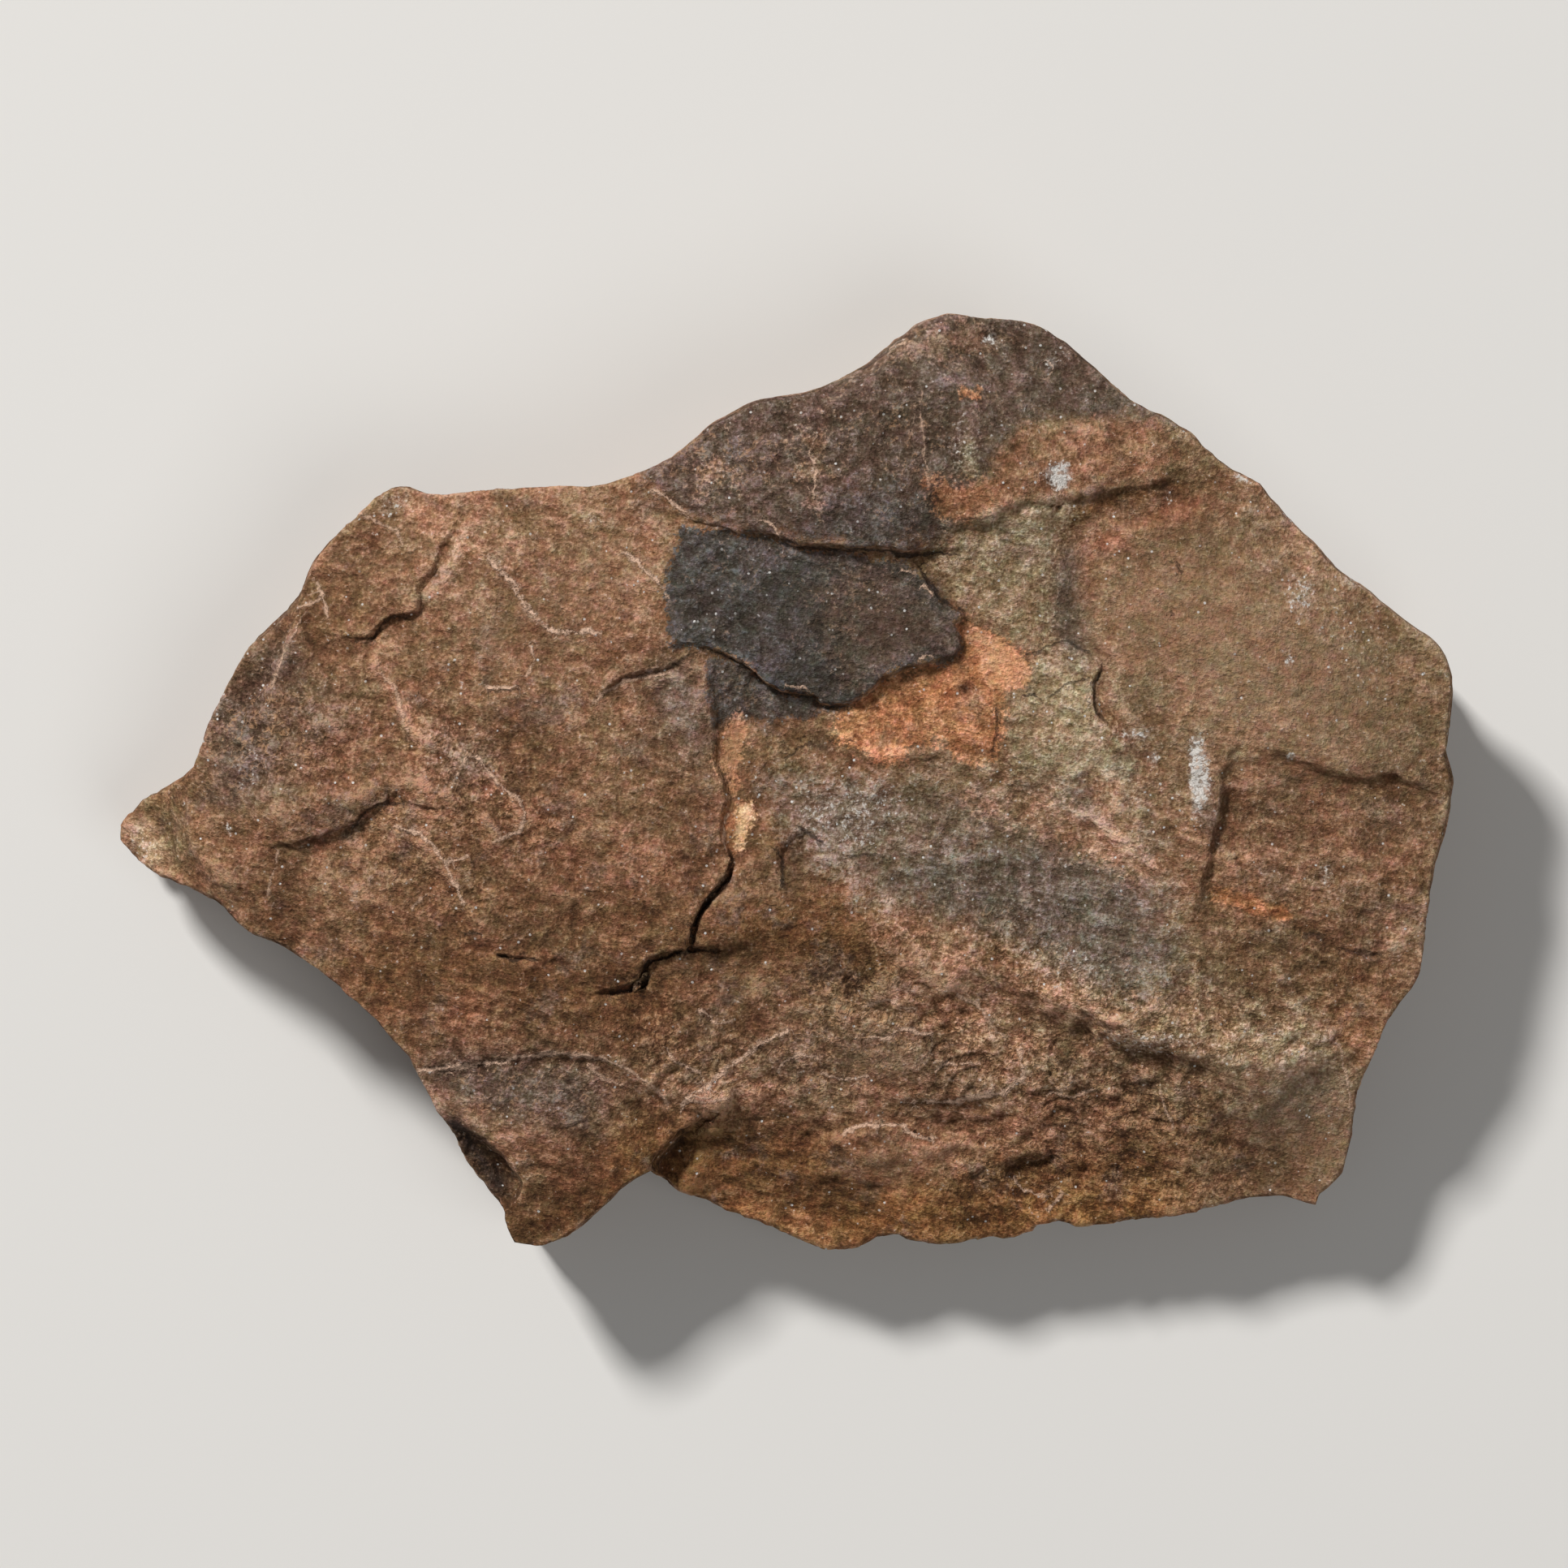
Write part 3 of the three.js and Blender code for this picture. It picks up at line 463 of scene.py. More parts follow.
PAINTS = {
    "bark": srgb(121, 86, 60),
    "khaki": srgb(138, 111, 84),
    "ochre": srgb(132, 87, 46),
    "dusk": srgb(80, 66, 58),
    "tan": srgb(149, 112, 85),
    "peach": srgb(176, 130, 100),
    "umber": srgb(92, 59, 30),
    "plum": srgb(98, 80, 69),
    "ash": srgb(124, 105, 89),
    "slate": srgb(100, 86, 73),
    "olive": srgb(124, 98, 68),
    "rust": srgb(162, 108, 72),
    "red": srgb(134, 89, 64),
    "lichen": srgb(157, 132, 103),
    "cream": srgb(200, 166, 132),
    "char": srgb(67, 61, 56),
    "salmon": srgb(206, 150, 112),
    "lip": srgb(190, 136, 100),
    "brick": srgb(124, 83, 57),
    "orange": srgb(180, 118, 78),
    "flesh": srgb(224, 176, 134),
    "pitch": srgb(48, 34, 25),
    "thread": srgb(206, 156, 112),
    "vein": srgb(234, 194, 166),
    "seam_and_shade": srgb(44, 31, 22),
    "powder_and_glints": srgb(228, 222, 214),
    "mica_glint": srgb(236, 232, 226),
}

# Broad stains and a few strokes of painted shade and painted light, each marked, laid one over
# another in this order: paint, reach in squares, strength, route.
STAINS_AND_PAINTED_LIGHT = [
    ("khaki", 190, 0.9, [(1340, 640), (1600, 800), (1620, 1150)]),
    ("tan", 60, 0.5, [(1060, 960), (1200, 950)]),
    ("khaki", 110, 0.5, [(1100, 1290), (1350, 1300), (1620, 1350)]),
    ("ochre", 60, 0.85, [(800, 1450), (920, 1500), (1150, 1500), (1400, 1490)]),
    ("tan", 90, 0.6, [(580, 700), (740, 710)]),
    ("peach", 26, 0.4, [(520, 630), (560, 660)]),
    ("umber", 40, 0.4, [(190, 970), (260, 920), (320, 860), (400, 760)]),
    ("char", 30, 0.55, [(345, 815), (306, 890), (292, 960)]),
    # painted shadow at the foot of the hook's ledge
    ("umber", 30, 0.4, [(470, 765), (545, 790)]),
    ("umber", 36, 0.6, [(470, 1230), (530, 1268), (610, 1286)]),
    ("plum", 42, 0.5, [(290, 870), (330, 930), (400, 900)]),
    ("olive", 22, 0.6, [(190, 990), (215, 1060)]),
    ("red", 42, 0.5, [(430, 930), (540, 960), (640, 1020)]),
    ("peach", 14, 0.4, [(470, 790), (500, 850), (520, 890), (560, 920)]),
    ("red", 40, 0.4, [(700, 1040), (800, 1060)]),
    ("umber", 44, 0.7, [(480, 1180), (600, 1210), (720, 1230), (800, 1230)]),
    ("umber", 26, 0.4, [(790, 1130), (860, 1160)]),
    ("red", 32, 0.5, [(520, 1260), (600, 1250)]),
    ("plum", 36, 0.4, [(560, 1340), (720, 1350)]),
    ("red", 24, 0.8, [(690, 1445), (720, 1450)]),
    ("umber", 40, 0.8, [(610, 1450), (650, 1510), (720, 1490)]),
    ("peach", 13, 0.6, [(540, 1350), (590, 1374), (625, 1408), (640, 1450)]),
    ("olive", 16, 0.5, [(640, 1450), (650, 1480)]),
    ("plum", 34, 0.7, [(560, 1330), (650, 1340), (700, 1350)]),
    ("pitch", 15, 1.0, [(560, 1384), (584, 1416), (602, 1442), (614, 1464)]),
    ("umber", 40, 0.6, [(860, 1400), (960, 1420), (1060, 1430)]),
    ("rust", 24, 0.5, [(900, 1460), (1000, 1510)]),
    ("peach", 20, 0.5, [(1040, 1440), (1180, 1430)]),
    ("umber", 26, 0.9, [(1180, 1480), (1290, 1440), (1420, 1430)]),
    ("umber", 30, 0.35, [(1400, 1360), (1480, 1380), (1530, 1420)]),
    ("plum", 40, 0.3, [(980, 1300), (1150, 1300)]),
    ("umber", 44, 0.9, [(930, 1150), (1030, 1165), (1120, 1205), (1220, 1215)]),
    ("rust", 18, 0.4, [(1000, 1085), (1060, 1110)]),
    ("ash", 40, 0.4, [(1560, 1400), (1620, 1350)]),
    ("umber", 36, 0.6, [(1480, 1390), (1560, 1430)]),
    ("umber", 34, 0.6, [(1640, 1020), (1740, 1070)]),
    # painted shade: the sunken field's side wall, its top edge and its corner
    ("umber", 20, 0.5, [(1520, 903), (1512, 960), (1506, 1030), (1490, 1110)]),
    ("umber", 15, 0.7, [(1560, 930), (1620, 950), (1670, 968), (1750, 990)]),
    ("umber", 15, 0.6, [(1700, 950), (1712, 970)]),
    ("umber", 44, 0.8, [(840, 1440), (940, 1440), (1040, 1450)]),
    ("red", 40, 0.6, [(1500, 1080), (1620, 1130), (1700, 1230)]),
    ("red", 34, 0.6, [(1080, 1370), (1200, 1390), (1340, 1380)]),
    ("cream", 34, 0.5, [(1460, 1265), (1540, 1285), (1620, 1280)]),
    ("tan", 30, 0.7, [(1140, 1180), (1260, 1250), (1330, 1270)]),
    # painted light on a slope that the slab shades
    ("lichen", 26, 0.7, [(1290, 1005), (1350, 1040)]),
    ("lichen", 26, 0.6, [(1130, 955), (1220, 965)]),
    # painted light below the dome's lip, where the slab's own shadow falls
    ("lichen", 22, 0.8, [(1200, 655), (1270, 665)]),
    ("tan", 40, 0.6, [(1590, 1110), (1690, 1150)]),
    ("umber", 40, 0.3, [(560, 1080), (700, 1160), (860, 1130)]),
    ("rust", 32, 0.5, [(1640, 1230), (1690, 1290)]),
    ("red", 70, 0.5, [(1560, 990), (1690, 1080)]),
    ("olive", 60, 0.4, [(1500, 1170), (1640, 1180)]),
    ("tan", 100, 0.4, [(1440, 760), (1600, 840)]),
    ("olive", 50, 0.4, [(1720, 780), (1750, 900)]),
    ("tan", 22, 0.8, [(1540, 600), (1600, 690)]),
    ("bark", 50, 0.7, [(1330, 700), (1400, 660), (1500, 610)]),
    ("red", 14, 0.9, [(1345, 690), (1380, 652), (1470, 622)]),
    # painted shadow in the trough under the rust-red bed
    ("umber", 13, 0.9, [(1310, 640), (1380, 615), (1450, 598)]),
    ("olive", 20, 0.6, [(1450, 580), (1480, 570)]),
    ("tan", 50, 0.5, [(1300, 1010), (1420, 1080)]),
    ("ash", 24, 0.6, [(1000, 1045), (980, 1075)]),
    ("ash", 30, 0.5, [(580, 940)]),
    ("plum", 34, 0.75, [(830, 850), (850, 900)]),
    # painted shade in the trough at the lobe's side
    ("plum", 18, 0.8, [(1312, 690), (1310, 740), (1320, 800)]),
    ("peach", 26, 0.6, [(1110, 1235), (1190, 1262), (1250, 1290)]),
    ("umber", 24, 0.4, [(1375, 1268), (1450, 1290)]),
    ("umber", 34, 0.4, [(1540, 1200), (1640, 1206), (1740, 1214)]),
    ("tan", 26, 0.6, [(1650, 1128), (1725, 1150)]),
    # painted shade along the sunken nook's high side
    ("umber", 34, 0.7, [(968, 1034), (985, 1090), (1035, 1132)]),
    ("umber", 30, 0.5, [(860, 1432), (935, 1452)]),
    ("peach", 22, 0.5, [(800, 1330), (870, 1340), (940, 1330)]),
    ("tan", 50, 0.35, [(780, 900)]),
    ("tan", 34, 0.5, [(1062, 1066), (1130, 1092)]),
    ("umber", 40, 0.25, [(330, 890), (430, 950)]),
    ("tan", 40, 0.3, [(1000, 1330), (1240, 1350)]),
    ("cream", 14, 0.6, [(172, 1030), (184, 1052)]),
    ("olive", 24, 0.6, [(940, 910), (1000, 915)]),
]

# Beds and scars with an edge of their own: a paint, how much of it shows, how soft its edge is in
# millimetres, how far the edge strays, and a closed outline. Laid in this order.
AREAS = {
    "dome": ("dusk", 0.78, 1.6, 1.5, [
        (780, 560), (800, 600), (830, 622), (856, 642), (900, 655), (965, 664), (1060, 678),
        (1120, 684), (1165, 664), (1205, 640), (1215, 600), (1232, 550), (1262, 525), (1300, 515),
        (1400, 520), (1470, 520), (1300, 340), (1100, 320), (900, 440)]),
    "lichen": ("lichen", 0.75, 1.6, 1.8, [
        (1152, 690), (1165, 662), (1225, 645), (1250, 620), (1300, 618), (1318, 640), (1294, 700),
        (1284, 760), (1300, 800), (1345, 828), (1350, 880), (1395, 915), (1400, 950), (1392, 985),
        (1340, 960), (1290, 975), (1240, 950), (1236, 860), (1265, 835), (1266, 806), (1228, 785),
        (1182, 752)]),
    "pale_bed": ("ash", 0.7, 2.5, 2.0, [
        (940, 950), (1020, 955), (1120, 965), (1230, 975), (1330, 990), (1440, 1090), (1450, 1190),
        (1400, 1240), (1330, 1215), (1240, 1160), (1150, 1135), (1070, 1115), (1010, 1060), (960, 1010)]),
    "slate": ("slate", 0.8, 2.5, 2.5, [
        (1090, 1085), (1160, 1050), (1250, 1045), (1340, 1060), (1400, 1100), (1415, 1170),
        (1400, 1215), (1330, 1185), (1250, 1140), (1150, 1120)]),
    "pale_ridge": ("peach", 0.55, 1.2, 2.2, [
        (1190, 985), (1290, 985), (1345, 1005), (1425, 1062), (1400, 1085), (1330, 1052), (1260, 1022)]),
    "crest_band": ("peach", 0.45, 2.0, 2.4, [
        (1090, 1112), (1170, 1134), (1250, 1172), (1335, 1218), (1440, 1262), (1425, 1282),
        (1330, 1246), (1240, 1208), (1160, 1170), (1085, 1140)]),
    "dome_blue": ("char", 0.6, 2.0, 3.0, [
        (1000, 612), (1080, 600), (1160, 620), (1160, 655), (1120, 684), (1060, 678), (985, 660)]),
    "dome_tan": ("tan", 0.45, 1.2, 3.0, [(985, 540), (1014, 532), (1020, 600), (1004, 628), (990, 592)]),
    "dome_left_tan": ("tan", 0.45, 1.0, 3.0, [(850, 580), (890, 580), (900, 600), (866, 606)]),
    "dome_top_tan": ("tan", 0.35, 1.2, 3.0, [(1100, 430), (1190, 400), (1240, 420), (1180, 446)]),
    "dome_rust": ("rust", 0.6, 0.8, 1.8, [
        (1142, 590), (1180, 598), (1222, 596), (1222, 634), (1190, 648), (1150, 636)]),
    "dome_cream": ("lichen", 0.6, 1.4, 1.2, [
        (1184, 546), (1194, 542), (1202, 566), (1198, 590), (1190, 578)]),
    "dome_fleck": ("orange", 0.6, 0.3, 0.8, [(1180, 482), (1204, 482), (1204, 492), (1182, 493)]),
    "orange_streak": ("orange", 0.7, 0.5, 0.7, [
        (1490, 1094), (1515, 1098), (1545, 1102), (1568, 1114), (1587, 1120), (1587, 1132),
        (1560, 1130), (1520, 1118), (1492, 1108)]),
    "rust_top": ("brick", 0.75, 1.0, 1.8, [
        (1215, 620), (1225, 570), (1262, 528), (1310, 530), (1370, 520), (1420, 525), (1450, 560),
        (1430, 592), (1345, 608), (1290, 614), (1226, 630)]),
    "scar": ("orange", 0.72, 0.5, 1.6, [
        (1182, 757), (1230, 785), (1268, 808), (1262, 838), (1238, 852), (1234, 900), (1224, 945),
        (1190, 940), (1160, 915), (1120, 925), (1100, 945), (1060, 935), (1030, 915), (1020, 890),
        (1050, 869), (1086, 838), (1122, 822), (1165, 815), (1185, 800), (1174, 770)]),
    "salmon": ("salmon", 0.95, 0.3, 0.35, [
        (1180, 760), (1204, 776), (1228, 789), (1250, 800), (1264, 815), (1269, 836), (1258, 846),
        (1238, 850), (1214, 846), (1207, 826), (1205, 806), (1190, 790)]),
    "under_crust": ("char", 0.85, 0.5, 1.2, [
        (868, 805), (915, 815), (938, 838), (962, 851), (1003, 858), (1008, 869), (1030, 869),
        (1010, 882), (960, 890), (905, 886), (882, 895), (876, 860)]),
    "crust": ("char", 0.95, 0.3, 1.0, [
        (834, 650), (880, 655), (935, 664), (1000, 680), (1110, 692), (1128, 700), (1140, 715),
        (1155, 735), (1186, 757), (1174, 770), (1185, 800), (1165, 815), (1122, 822), (1086, 838),
        (1066, 855), (1050, 869), (1008, 869), (1003, 858), (962, 851), (938, 838), (915, 815),
        (880, 803), (850, 798), (832, 800), (822, 760), (826, 700)]),
    "crust_brown": ("bark", 0.24, 3.0, 3.6, [
        (1010, 700), (1110, 692), (1150, 735), (1186, 757), (1180, 800), (1120, 822), (1060, 850),
        (1015, 800)]),
    "lip_top": ("lip", 0.8, 0.5, 1.1, [
        (909, 877), (920, 900), (922, 922), (913, 946), (910, 984), (905, 984), (894, 965), (880, 934),
        (885, 907)]),
    "lip_rust": ("rust", 0.85, 0.3, 0.5, [
        (910, 984), (927, 987), (930, 1006), (920, 1026), (914, 1048), (900, 1053), (889, 1032),
        (889, 1006), (895, 990)]),
    "lip_crest": ("flesh", 0.9, 0.4, 0.7, [
        (911, 988), (927, 987), (930, 1006), (920, 1026), (914, 1048), (906, 1046), (904, 1024)]),
}

# Thin lines: half width in squares, strength, route. Veins are pale; seams are dark cracks, their dark
# partly their own and partly painted shade in them and at the feet of ledges. A seam may follow a groove.
VEINS = [
    (3.2, 1.0, [(600, 680), (618, 705), (640, 728), (655, 758), (680, 775), (700, 780), (745, 782)]),
    (2.6, 1.0, [(765, 680), (800, 705), (815, 718), (825, 740)]),
    (2.2, 0.9, [(600, 848), (645, 847)]),
    (2.0, 0.6, [(440, 632), (470, 645), (490, 655), (500, 675)]),
    (2.8, 1.0, [(510, 1318), (580, 1314), (620, 1308), (650, 1301), (690, 1296)]),
    (2.2, 0.7, [(690, 1296), (740, 1302), (765, 1312), (790, 1328), (812, 1345), (826, 1362)]),
    (1.6, 0.5, [(720, 1312), (742, 1330), (770, 1338)]),
    (2.0, 0.8, [(835, 1362), (860, 1358), (900, 1352)]),
    (2.4, 0.8, [(820, 1290), (835, 1310), (865, 1325)]),
    (3.0, 1.0, [(836, 1372), (852, 1352), (890, 1322), (935, 1286), (980, 1266)]),
    (2.2, 0.9, [(1070, 1277), (1095, 1279), (1115, 1267), (1155, 1277)]),
    (2.2, 0.7, [(1150, 1322), (1165, 1308), (1200, 1310)]),
    (2.2, 0.6, [(1220, 1270), (1243, 1280)]),
    (2.6, 1.0, [(1110, 1357), (1180, 1359), (1235, 1348), (1262, 1325), (1255, 1285)]),
    (2.0, 0.8, [(1010, 1322), (1040, 1330), (1075, 1326)]),
    (2.0, 0.8, [(960, 1318), (985, 1300), (1012, 1306)]),
    (2.0, 0.7, [(1060, 1240), (1090, 1232), (1130, 1244)]),
    (2.0, 0.7, [(1290, 1345), (1322, 1352), (1352, 1342)]),
    (2.0, 0.7, [(1175, 1225), (1205, 1240), (1222, 1262)]),
    (1.8, 0.7, [(860, 1240), (885, 1262), (905, 1258)]),
    (2.6, 0.9, [(1030, 1400), (1082, 1386), (1110, 1390), (1130, 1402), (1160, 1406)]),
    (2.4, 0.7, [(1290, 1497), (1313, 1470)]),
    (1.6, 0.4, [(1136, 480), (1134, 520), (1138, 560), (1142, 605)]),
    (1.8, 0.7, [(1008, 535), (998, 560), (1006, 585), (1000, 612)]),
    (1.8, 0.6, [(866, 588), (882, 600)]),
    (1.8, 0.6, [(1284, 440), (1296, 455), (1288, 470)]),
    (1.8, 0.7, [(1092, 432), (1120, 420)]),
    (2.0, 0.7, [(1026, 470), (1050, 458)]),
    (1.6, 0.6, [(1652, 1285), (1662, 1330), (1664, 1370)]),
    (1.8, 0.6, [(1430, 1340), (1440, 1370), (1450, 1392)]),
    (1.8, 0.6, [(1250, 1450), (1262, 1470), (1300, 1478)]),
    (2.0, 0.6, [(730, 868), (750, 850), (776, 840), (830, 828)]),
    (1.8, 0.8, [(1108, 700), (1126, 708)]),
    (1.8, 0.8, [(1134, 722), (1150, 736)]),
    (2.0, 0.9, [(800, 604), (830, 622), (852, 640)]),
    (2.0, 0.8, [(940, 640), (960, 655), (966, 668)]),
    (2.2, 0.7, [(960, 843), (1000, 849)]),
    (2.6, 0.8, [(1130, 811), (1148, 808)]),
    (2.4, 0.6, [(470, 826), (488, 848), (500, 884), (511, 908)]),
    (2.2, 0.8, [(575, 926), (592, 936), (606, 952), (622, 974), (644, 984), (651, 1002), (642, 1024),
                (604, 1041)]),
    (2.0, 0.8, [(561, 966), (568, 948), (577, 930)]),
    (2.2, 0.9, [(487, 1018), (520, 1030), (537, 1046), (552, 1068), (562, 1090), (578, 1118)]),
    (2.0, 0.8, [(554, 1061), (582, 1053)]),
    (2.4, 0.7, [(384, 704), (400, 738), (408, 762)]),
    (2.0, 0.6, [(364, 748), (396, 742)]),
    (1.6, 0.6, [(374, 762), (352, 802), (334, 852)]),
    (1.6, 0.5, [(344, 1044), (338, 1074), (332, 1104)]),
    (1.6, 0.5, [(508, 1122), (530, 1098)]),
    (1.8, 0.6, [(655, 792), (660, 816), (648, 838)]),
    (2.0, 0.6, [(895, 1052), (889, 1030), (895, 1000)]),
]
SEAMS_AND_SHADE = [
    (2.4, 1.0, GROOVES["long_crack"][2]),
    (3.0, 1.0, GROOVES["shelf_crack"][2]),
    (2.6, 0.9, GROOVES["short_crack"][2]),
    (2.4, 0.8, [(570, 1150), (600, 1152)]),
    (2.6, 1.0, [(965, 666), (985, 674), (1060, 680), (1120, 685), (1185, 684)]),
    (2.8, 0.9, GROOVES["crust_foot"][2]),
    (3.0, 0.9, [(1128, 696), (1145, 722), (1158, 740), (1188, 757)]),
    (2.0, 0.8, [(1226, 868), (1228, 900), (1224, 930)]),
    (2.2, 1.0, [(1255, 857), (1282, 857)]),
    (2.0, 0.7, [(1290, 860), (1312, 848), (1340, 836)]),
    (2.0, 0.7, [(1262, 806), (1276, 805), (1286, 795), (1310, 790), (1348, 808)]),
    (2.4, 0.7, [(1358, 818), (1346, 845), (1350, 880), (1362, 892)]),
    (2.2, 0.8, [(1040, 912), (1062, 914)]),
    (2.2, 0.7, [(966, 936), (984, 922), (1002, 918)]),
    (3.2, 0.8, [(982, 1016), (1000, 1028), (1018, 1042)]),
    (2.0, 0.6, GROOVES["nook_line"][2]),
    (3.0, 0.8, [(956, 1040), (962, 1066), (963, 1096)]),
    (4.0, 0.7, [(1600, 1149), (1634, 1155)]),
    (5.0, 0.7, [(1650, 1172), (1708, 1178)]),
    (2.2, 0.7, GROOVES["lobe_tick"][2]),
    (2.2, 0.7, [(1440, 752), (1444, 762)]),
    (2.4, 0.8, [(430, 1026), (455, 999), (478, 989), (505, 991)]),
    (2.4, 0.8, [(440, 787), (460, 787), (470, 770), (482, 762), (512, 758)]),
    (2.0, 0.7, [(600, 852), (644, 851)]),
    (2.0, 0.5, [(760, 842), (800, 830), (838, 816), (866, 801)]),
    (2.6, 0.8, [(1180, 640), (1205, 643), (1222, 640)]),
]
# Spots of bright grains and powder, some of them small painted glints of mica: plan centre, half lengths in
# squares, strength.
BRIGHT_SPOTS = [
    (1474, 955, 12, 42, 1.35),
    (1302, 586, 17, 15, 1.3),
    (1292, 448, 8, 10, 0.6),
    (1588, 815, 6, 6, 0.8),
    (1586, 934, 6, 6, 0.8),
    (1422, 933, 6, 8, 0.8),
    (1600, 735, 16, 30, 0.5),
    (1665, 718, 14, 10, 0.5),
    (1530, 590, 12, 10, 0.6),
    (1632, 1078, 10, 16, 0.5),
    (305, 955, 20, 26, 0.25),
    (484, 622, 16, 16, 0.4),
    (1182, 560, 22, 34, 0.25),
    (1222, 420, 10, 8, 0.7),
    (172, 1045, 16, 14, 0.5),
    (283, 1022, 8, 8, 0.5),
    (736, 645, 8, 8, 0.4),
    (1055, 655, 12, 5, 0.4),
    (1050, 1000, 60, 44, 0.4),
    (1400, 905, 22, 10, 0.5),
    (1700, 780, 60, 90, 0.12),
    (1310, 1190, 60, 30, 0.2),
    (1420, 1285, 50, 14, 0.4),
]
LINE_REACH = 1.3 * MM
FAR_ACROSS = 9.0  # where no line is near, in half widths
AREA_DEPTH = 8  # farther inside an area's outline than this, in millimetres, makes no difference
CREST_SPACING = 0.4 * MM


def spots_at(xy, spots):
    """Soft oval spots: the strongest at each point."""
    total = np.zeros(len(xy))
    for x, y, half_x, half_y, strength in spots:
        away = np.hypot(*((xy - on_slab([(x, y)])) / (half_x * SQUARE, half_y * SQUARE)).T)
        total = np.maximum(total, strength * np.clip(1.5 - away, 0, 1))
    return total


def lines_at(xy, lines):
    """How far each point is across the nearest line, signed and in half widths, and the line's strength."""
    across = np.full(len(xy), FAR_ACROSS)
    strength_here = np.zeros(len(xy))
    for half_width, strength, route in lines:
        side, along = side_of_route(xy, route, LINE_REACH)
        side = side / (half_width * SQUARE)
        nearer = np.abs(side) < np.abs(across)
        ends = np.clip(5 * np.minimum(along, 1 - along) + 0.55, 0, 1)
        fades = np.clip((LINE_REACH - np.abs(side) * half_width * SQUARE) / (0.4 * LINE_REACH), 0, 1)
        across[nearer] = side[nearer]
        strength_here[nearer] = (strength * ends * fades)[nearer]
    return across, strength_here


def stain_and_painted_light_at(xy):
    """The broad colour of the rock at each point, with the strokes of painted shade and light, linear, with
    opacity 1.
    """
    colour = np.tile(PAINTS["bark"], (len(xy), 1))
    for paint, reach, strength, route in STAINS_AND_PAINTED_LIGHT:
        share = brushed(xy, [(reach, strength, route)])[:, None]
        colour = colour * (1 - share) + np.array(PAINTS[paint]) * share
    return colour


def crests(mesh, rounds=2):
    """How far each vertex stands out from its neighbours, about -1 in a crease to 1 on a crest."""
    points = read(mesh.vertices, "co", 3)
    normals = read(mesh.vertex_normals, "vector", 3)
    mean = neighbour_mean(mesh)
    middle = np.column_stack([mean(axis) for axis in points.T])
    crest = ((points - middle) * normals).sum(1) / CREST_SPACING
    for _ in range(rounds):
        crest = 0.5 * crest + 0.5 * mean(crest)
    return np.clip(crest * 6, -1, 1)


def record_fields(mesh):
    """Writes what the material reads at each vertex."""
    points = read(mesh.vertices, "co", 3)
    up = read(mesh.vertex_normals, "vector", 3)[:, 2]
    on_face = np.clip((up + 0.05) / 0.4, 0, 1)
    jagged = strayed(points)
    fields = {}
    for name, (*_, outline) in AREAS.items():
        inside = np.minimum(inside_by(points[:, :2], outline) / MM, AREA_DEPTH)
        fields[name] = inside - 3 * AREA_DEPTH * (1 - on_face)
    for name, lines in {"vein": VEINS, "seam_and_shade": SEAMS_AND_SHADE}.items():
        fields[name + "_side"], strength = lines_at(jagged, lines)
        fields[name] = strength * on_face
    for name, strokes in {"pebbled": PEBBLED, "streaked": STREAKED, "smooth": SMOOTH, "mica_glint": MICA_GLINTS}.items():
        fields[name] = brushed(jagged, strokes) * on_face
    fields["bright"] = spots_at(jagged, BRIGHT_SPOTS) * on_face
    # The crest and relief fields are read only for painted shade in creases and hollows and painted highlight
    # on crests and lumps; the paler crests are partly worn edges.
    fields["crest"] = crests(mesh)
    fields["relief"] = np.clip(face_relief(points) / MM, -1, 1) * on_face
    fields["wall"] = np.clip((0.6 - np.abs(up)) / 0.3, 0, 1)
    for name, values in fields.items():
        field = mesh.attributes.new(name, "FLOAT", "POINT")
        field.data.foreach_set("value", values.astype(np.float32))
    patches = np.clip(0.5 + 0.6 * layered(points, 22 * MM, 91), 0, 1)[:, None]
    side_stain = np.array(PAINTS["bark"]) * patches + np.array(PAINTS["khaki"]) * 0.8 * (1 - patches)
    stain_and_painted_light = np.ones((len(points), 4))
    stain_and_painted_light[:, :3] = stain_and_painted_light_at(jagged) * on_face[:, None] + side_stain * (1 - on_face[:, None])
    field = mesh.attributes.new("stain_and_painted_light", "FLOAT_COLOR", "POINT")
    field.data.foreach_set("color", stain_and_painted_light.astype(np.float32).ravel())


# ---------------------------------------------------------------- the map the looks are baked on

MAP_MARGIN = 0.01
FACE_ACROSS = 0.97  # width of the face on the map
UNDERSIDE_ACROSS = 0.40
WALL_STRIPS = 3
STRIP_ACROSS = 0.55
STRIP_UP = 0.095
STRIP_FILL = 0.94  # share of a strip's height that the wall takes
UPPER_ROW = 0.705  # height on the map of the underside and of the first strip of wall
RING_STEPS = 72


def around(angle, wall_points):
    """How far round the slab's walls an angle lies, from 0 to 1, by length along them."""
    wall_angle = np.arctan2(wall_points[:, 1], wall_points[:, 0])
    step = 2 * math.pi / RING_STEPS
    ring = np.arange(-RING_STEPS // 2 - 2, RING_STEPS // 2 + 3) * step
    spoke = np.round(wall_angle / step).astype(int) % RING_STEPS
    radius = np.bincount(spoke, np.hypot(*wall_points[:, :2].T), RING_STEPS)
    radius /= np.bincount(spoke, None, RING_STEPS)
    radius = radius[np.round(ring / step).astype(int) % RING_STEPS]
    corners = np.column_stack([radius * np.cos(ring), radius * np.sin(ring)])
    length = np.concatenate([[0], np.cumsum(np.hypot(*np.diff(corners, axis=0).T))])
    start, end = np.interp([-math.pi, math.pi], ring, length)
    return (np.interp(angle, ring, length) - start) / (end - start)


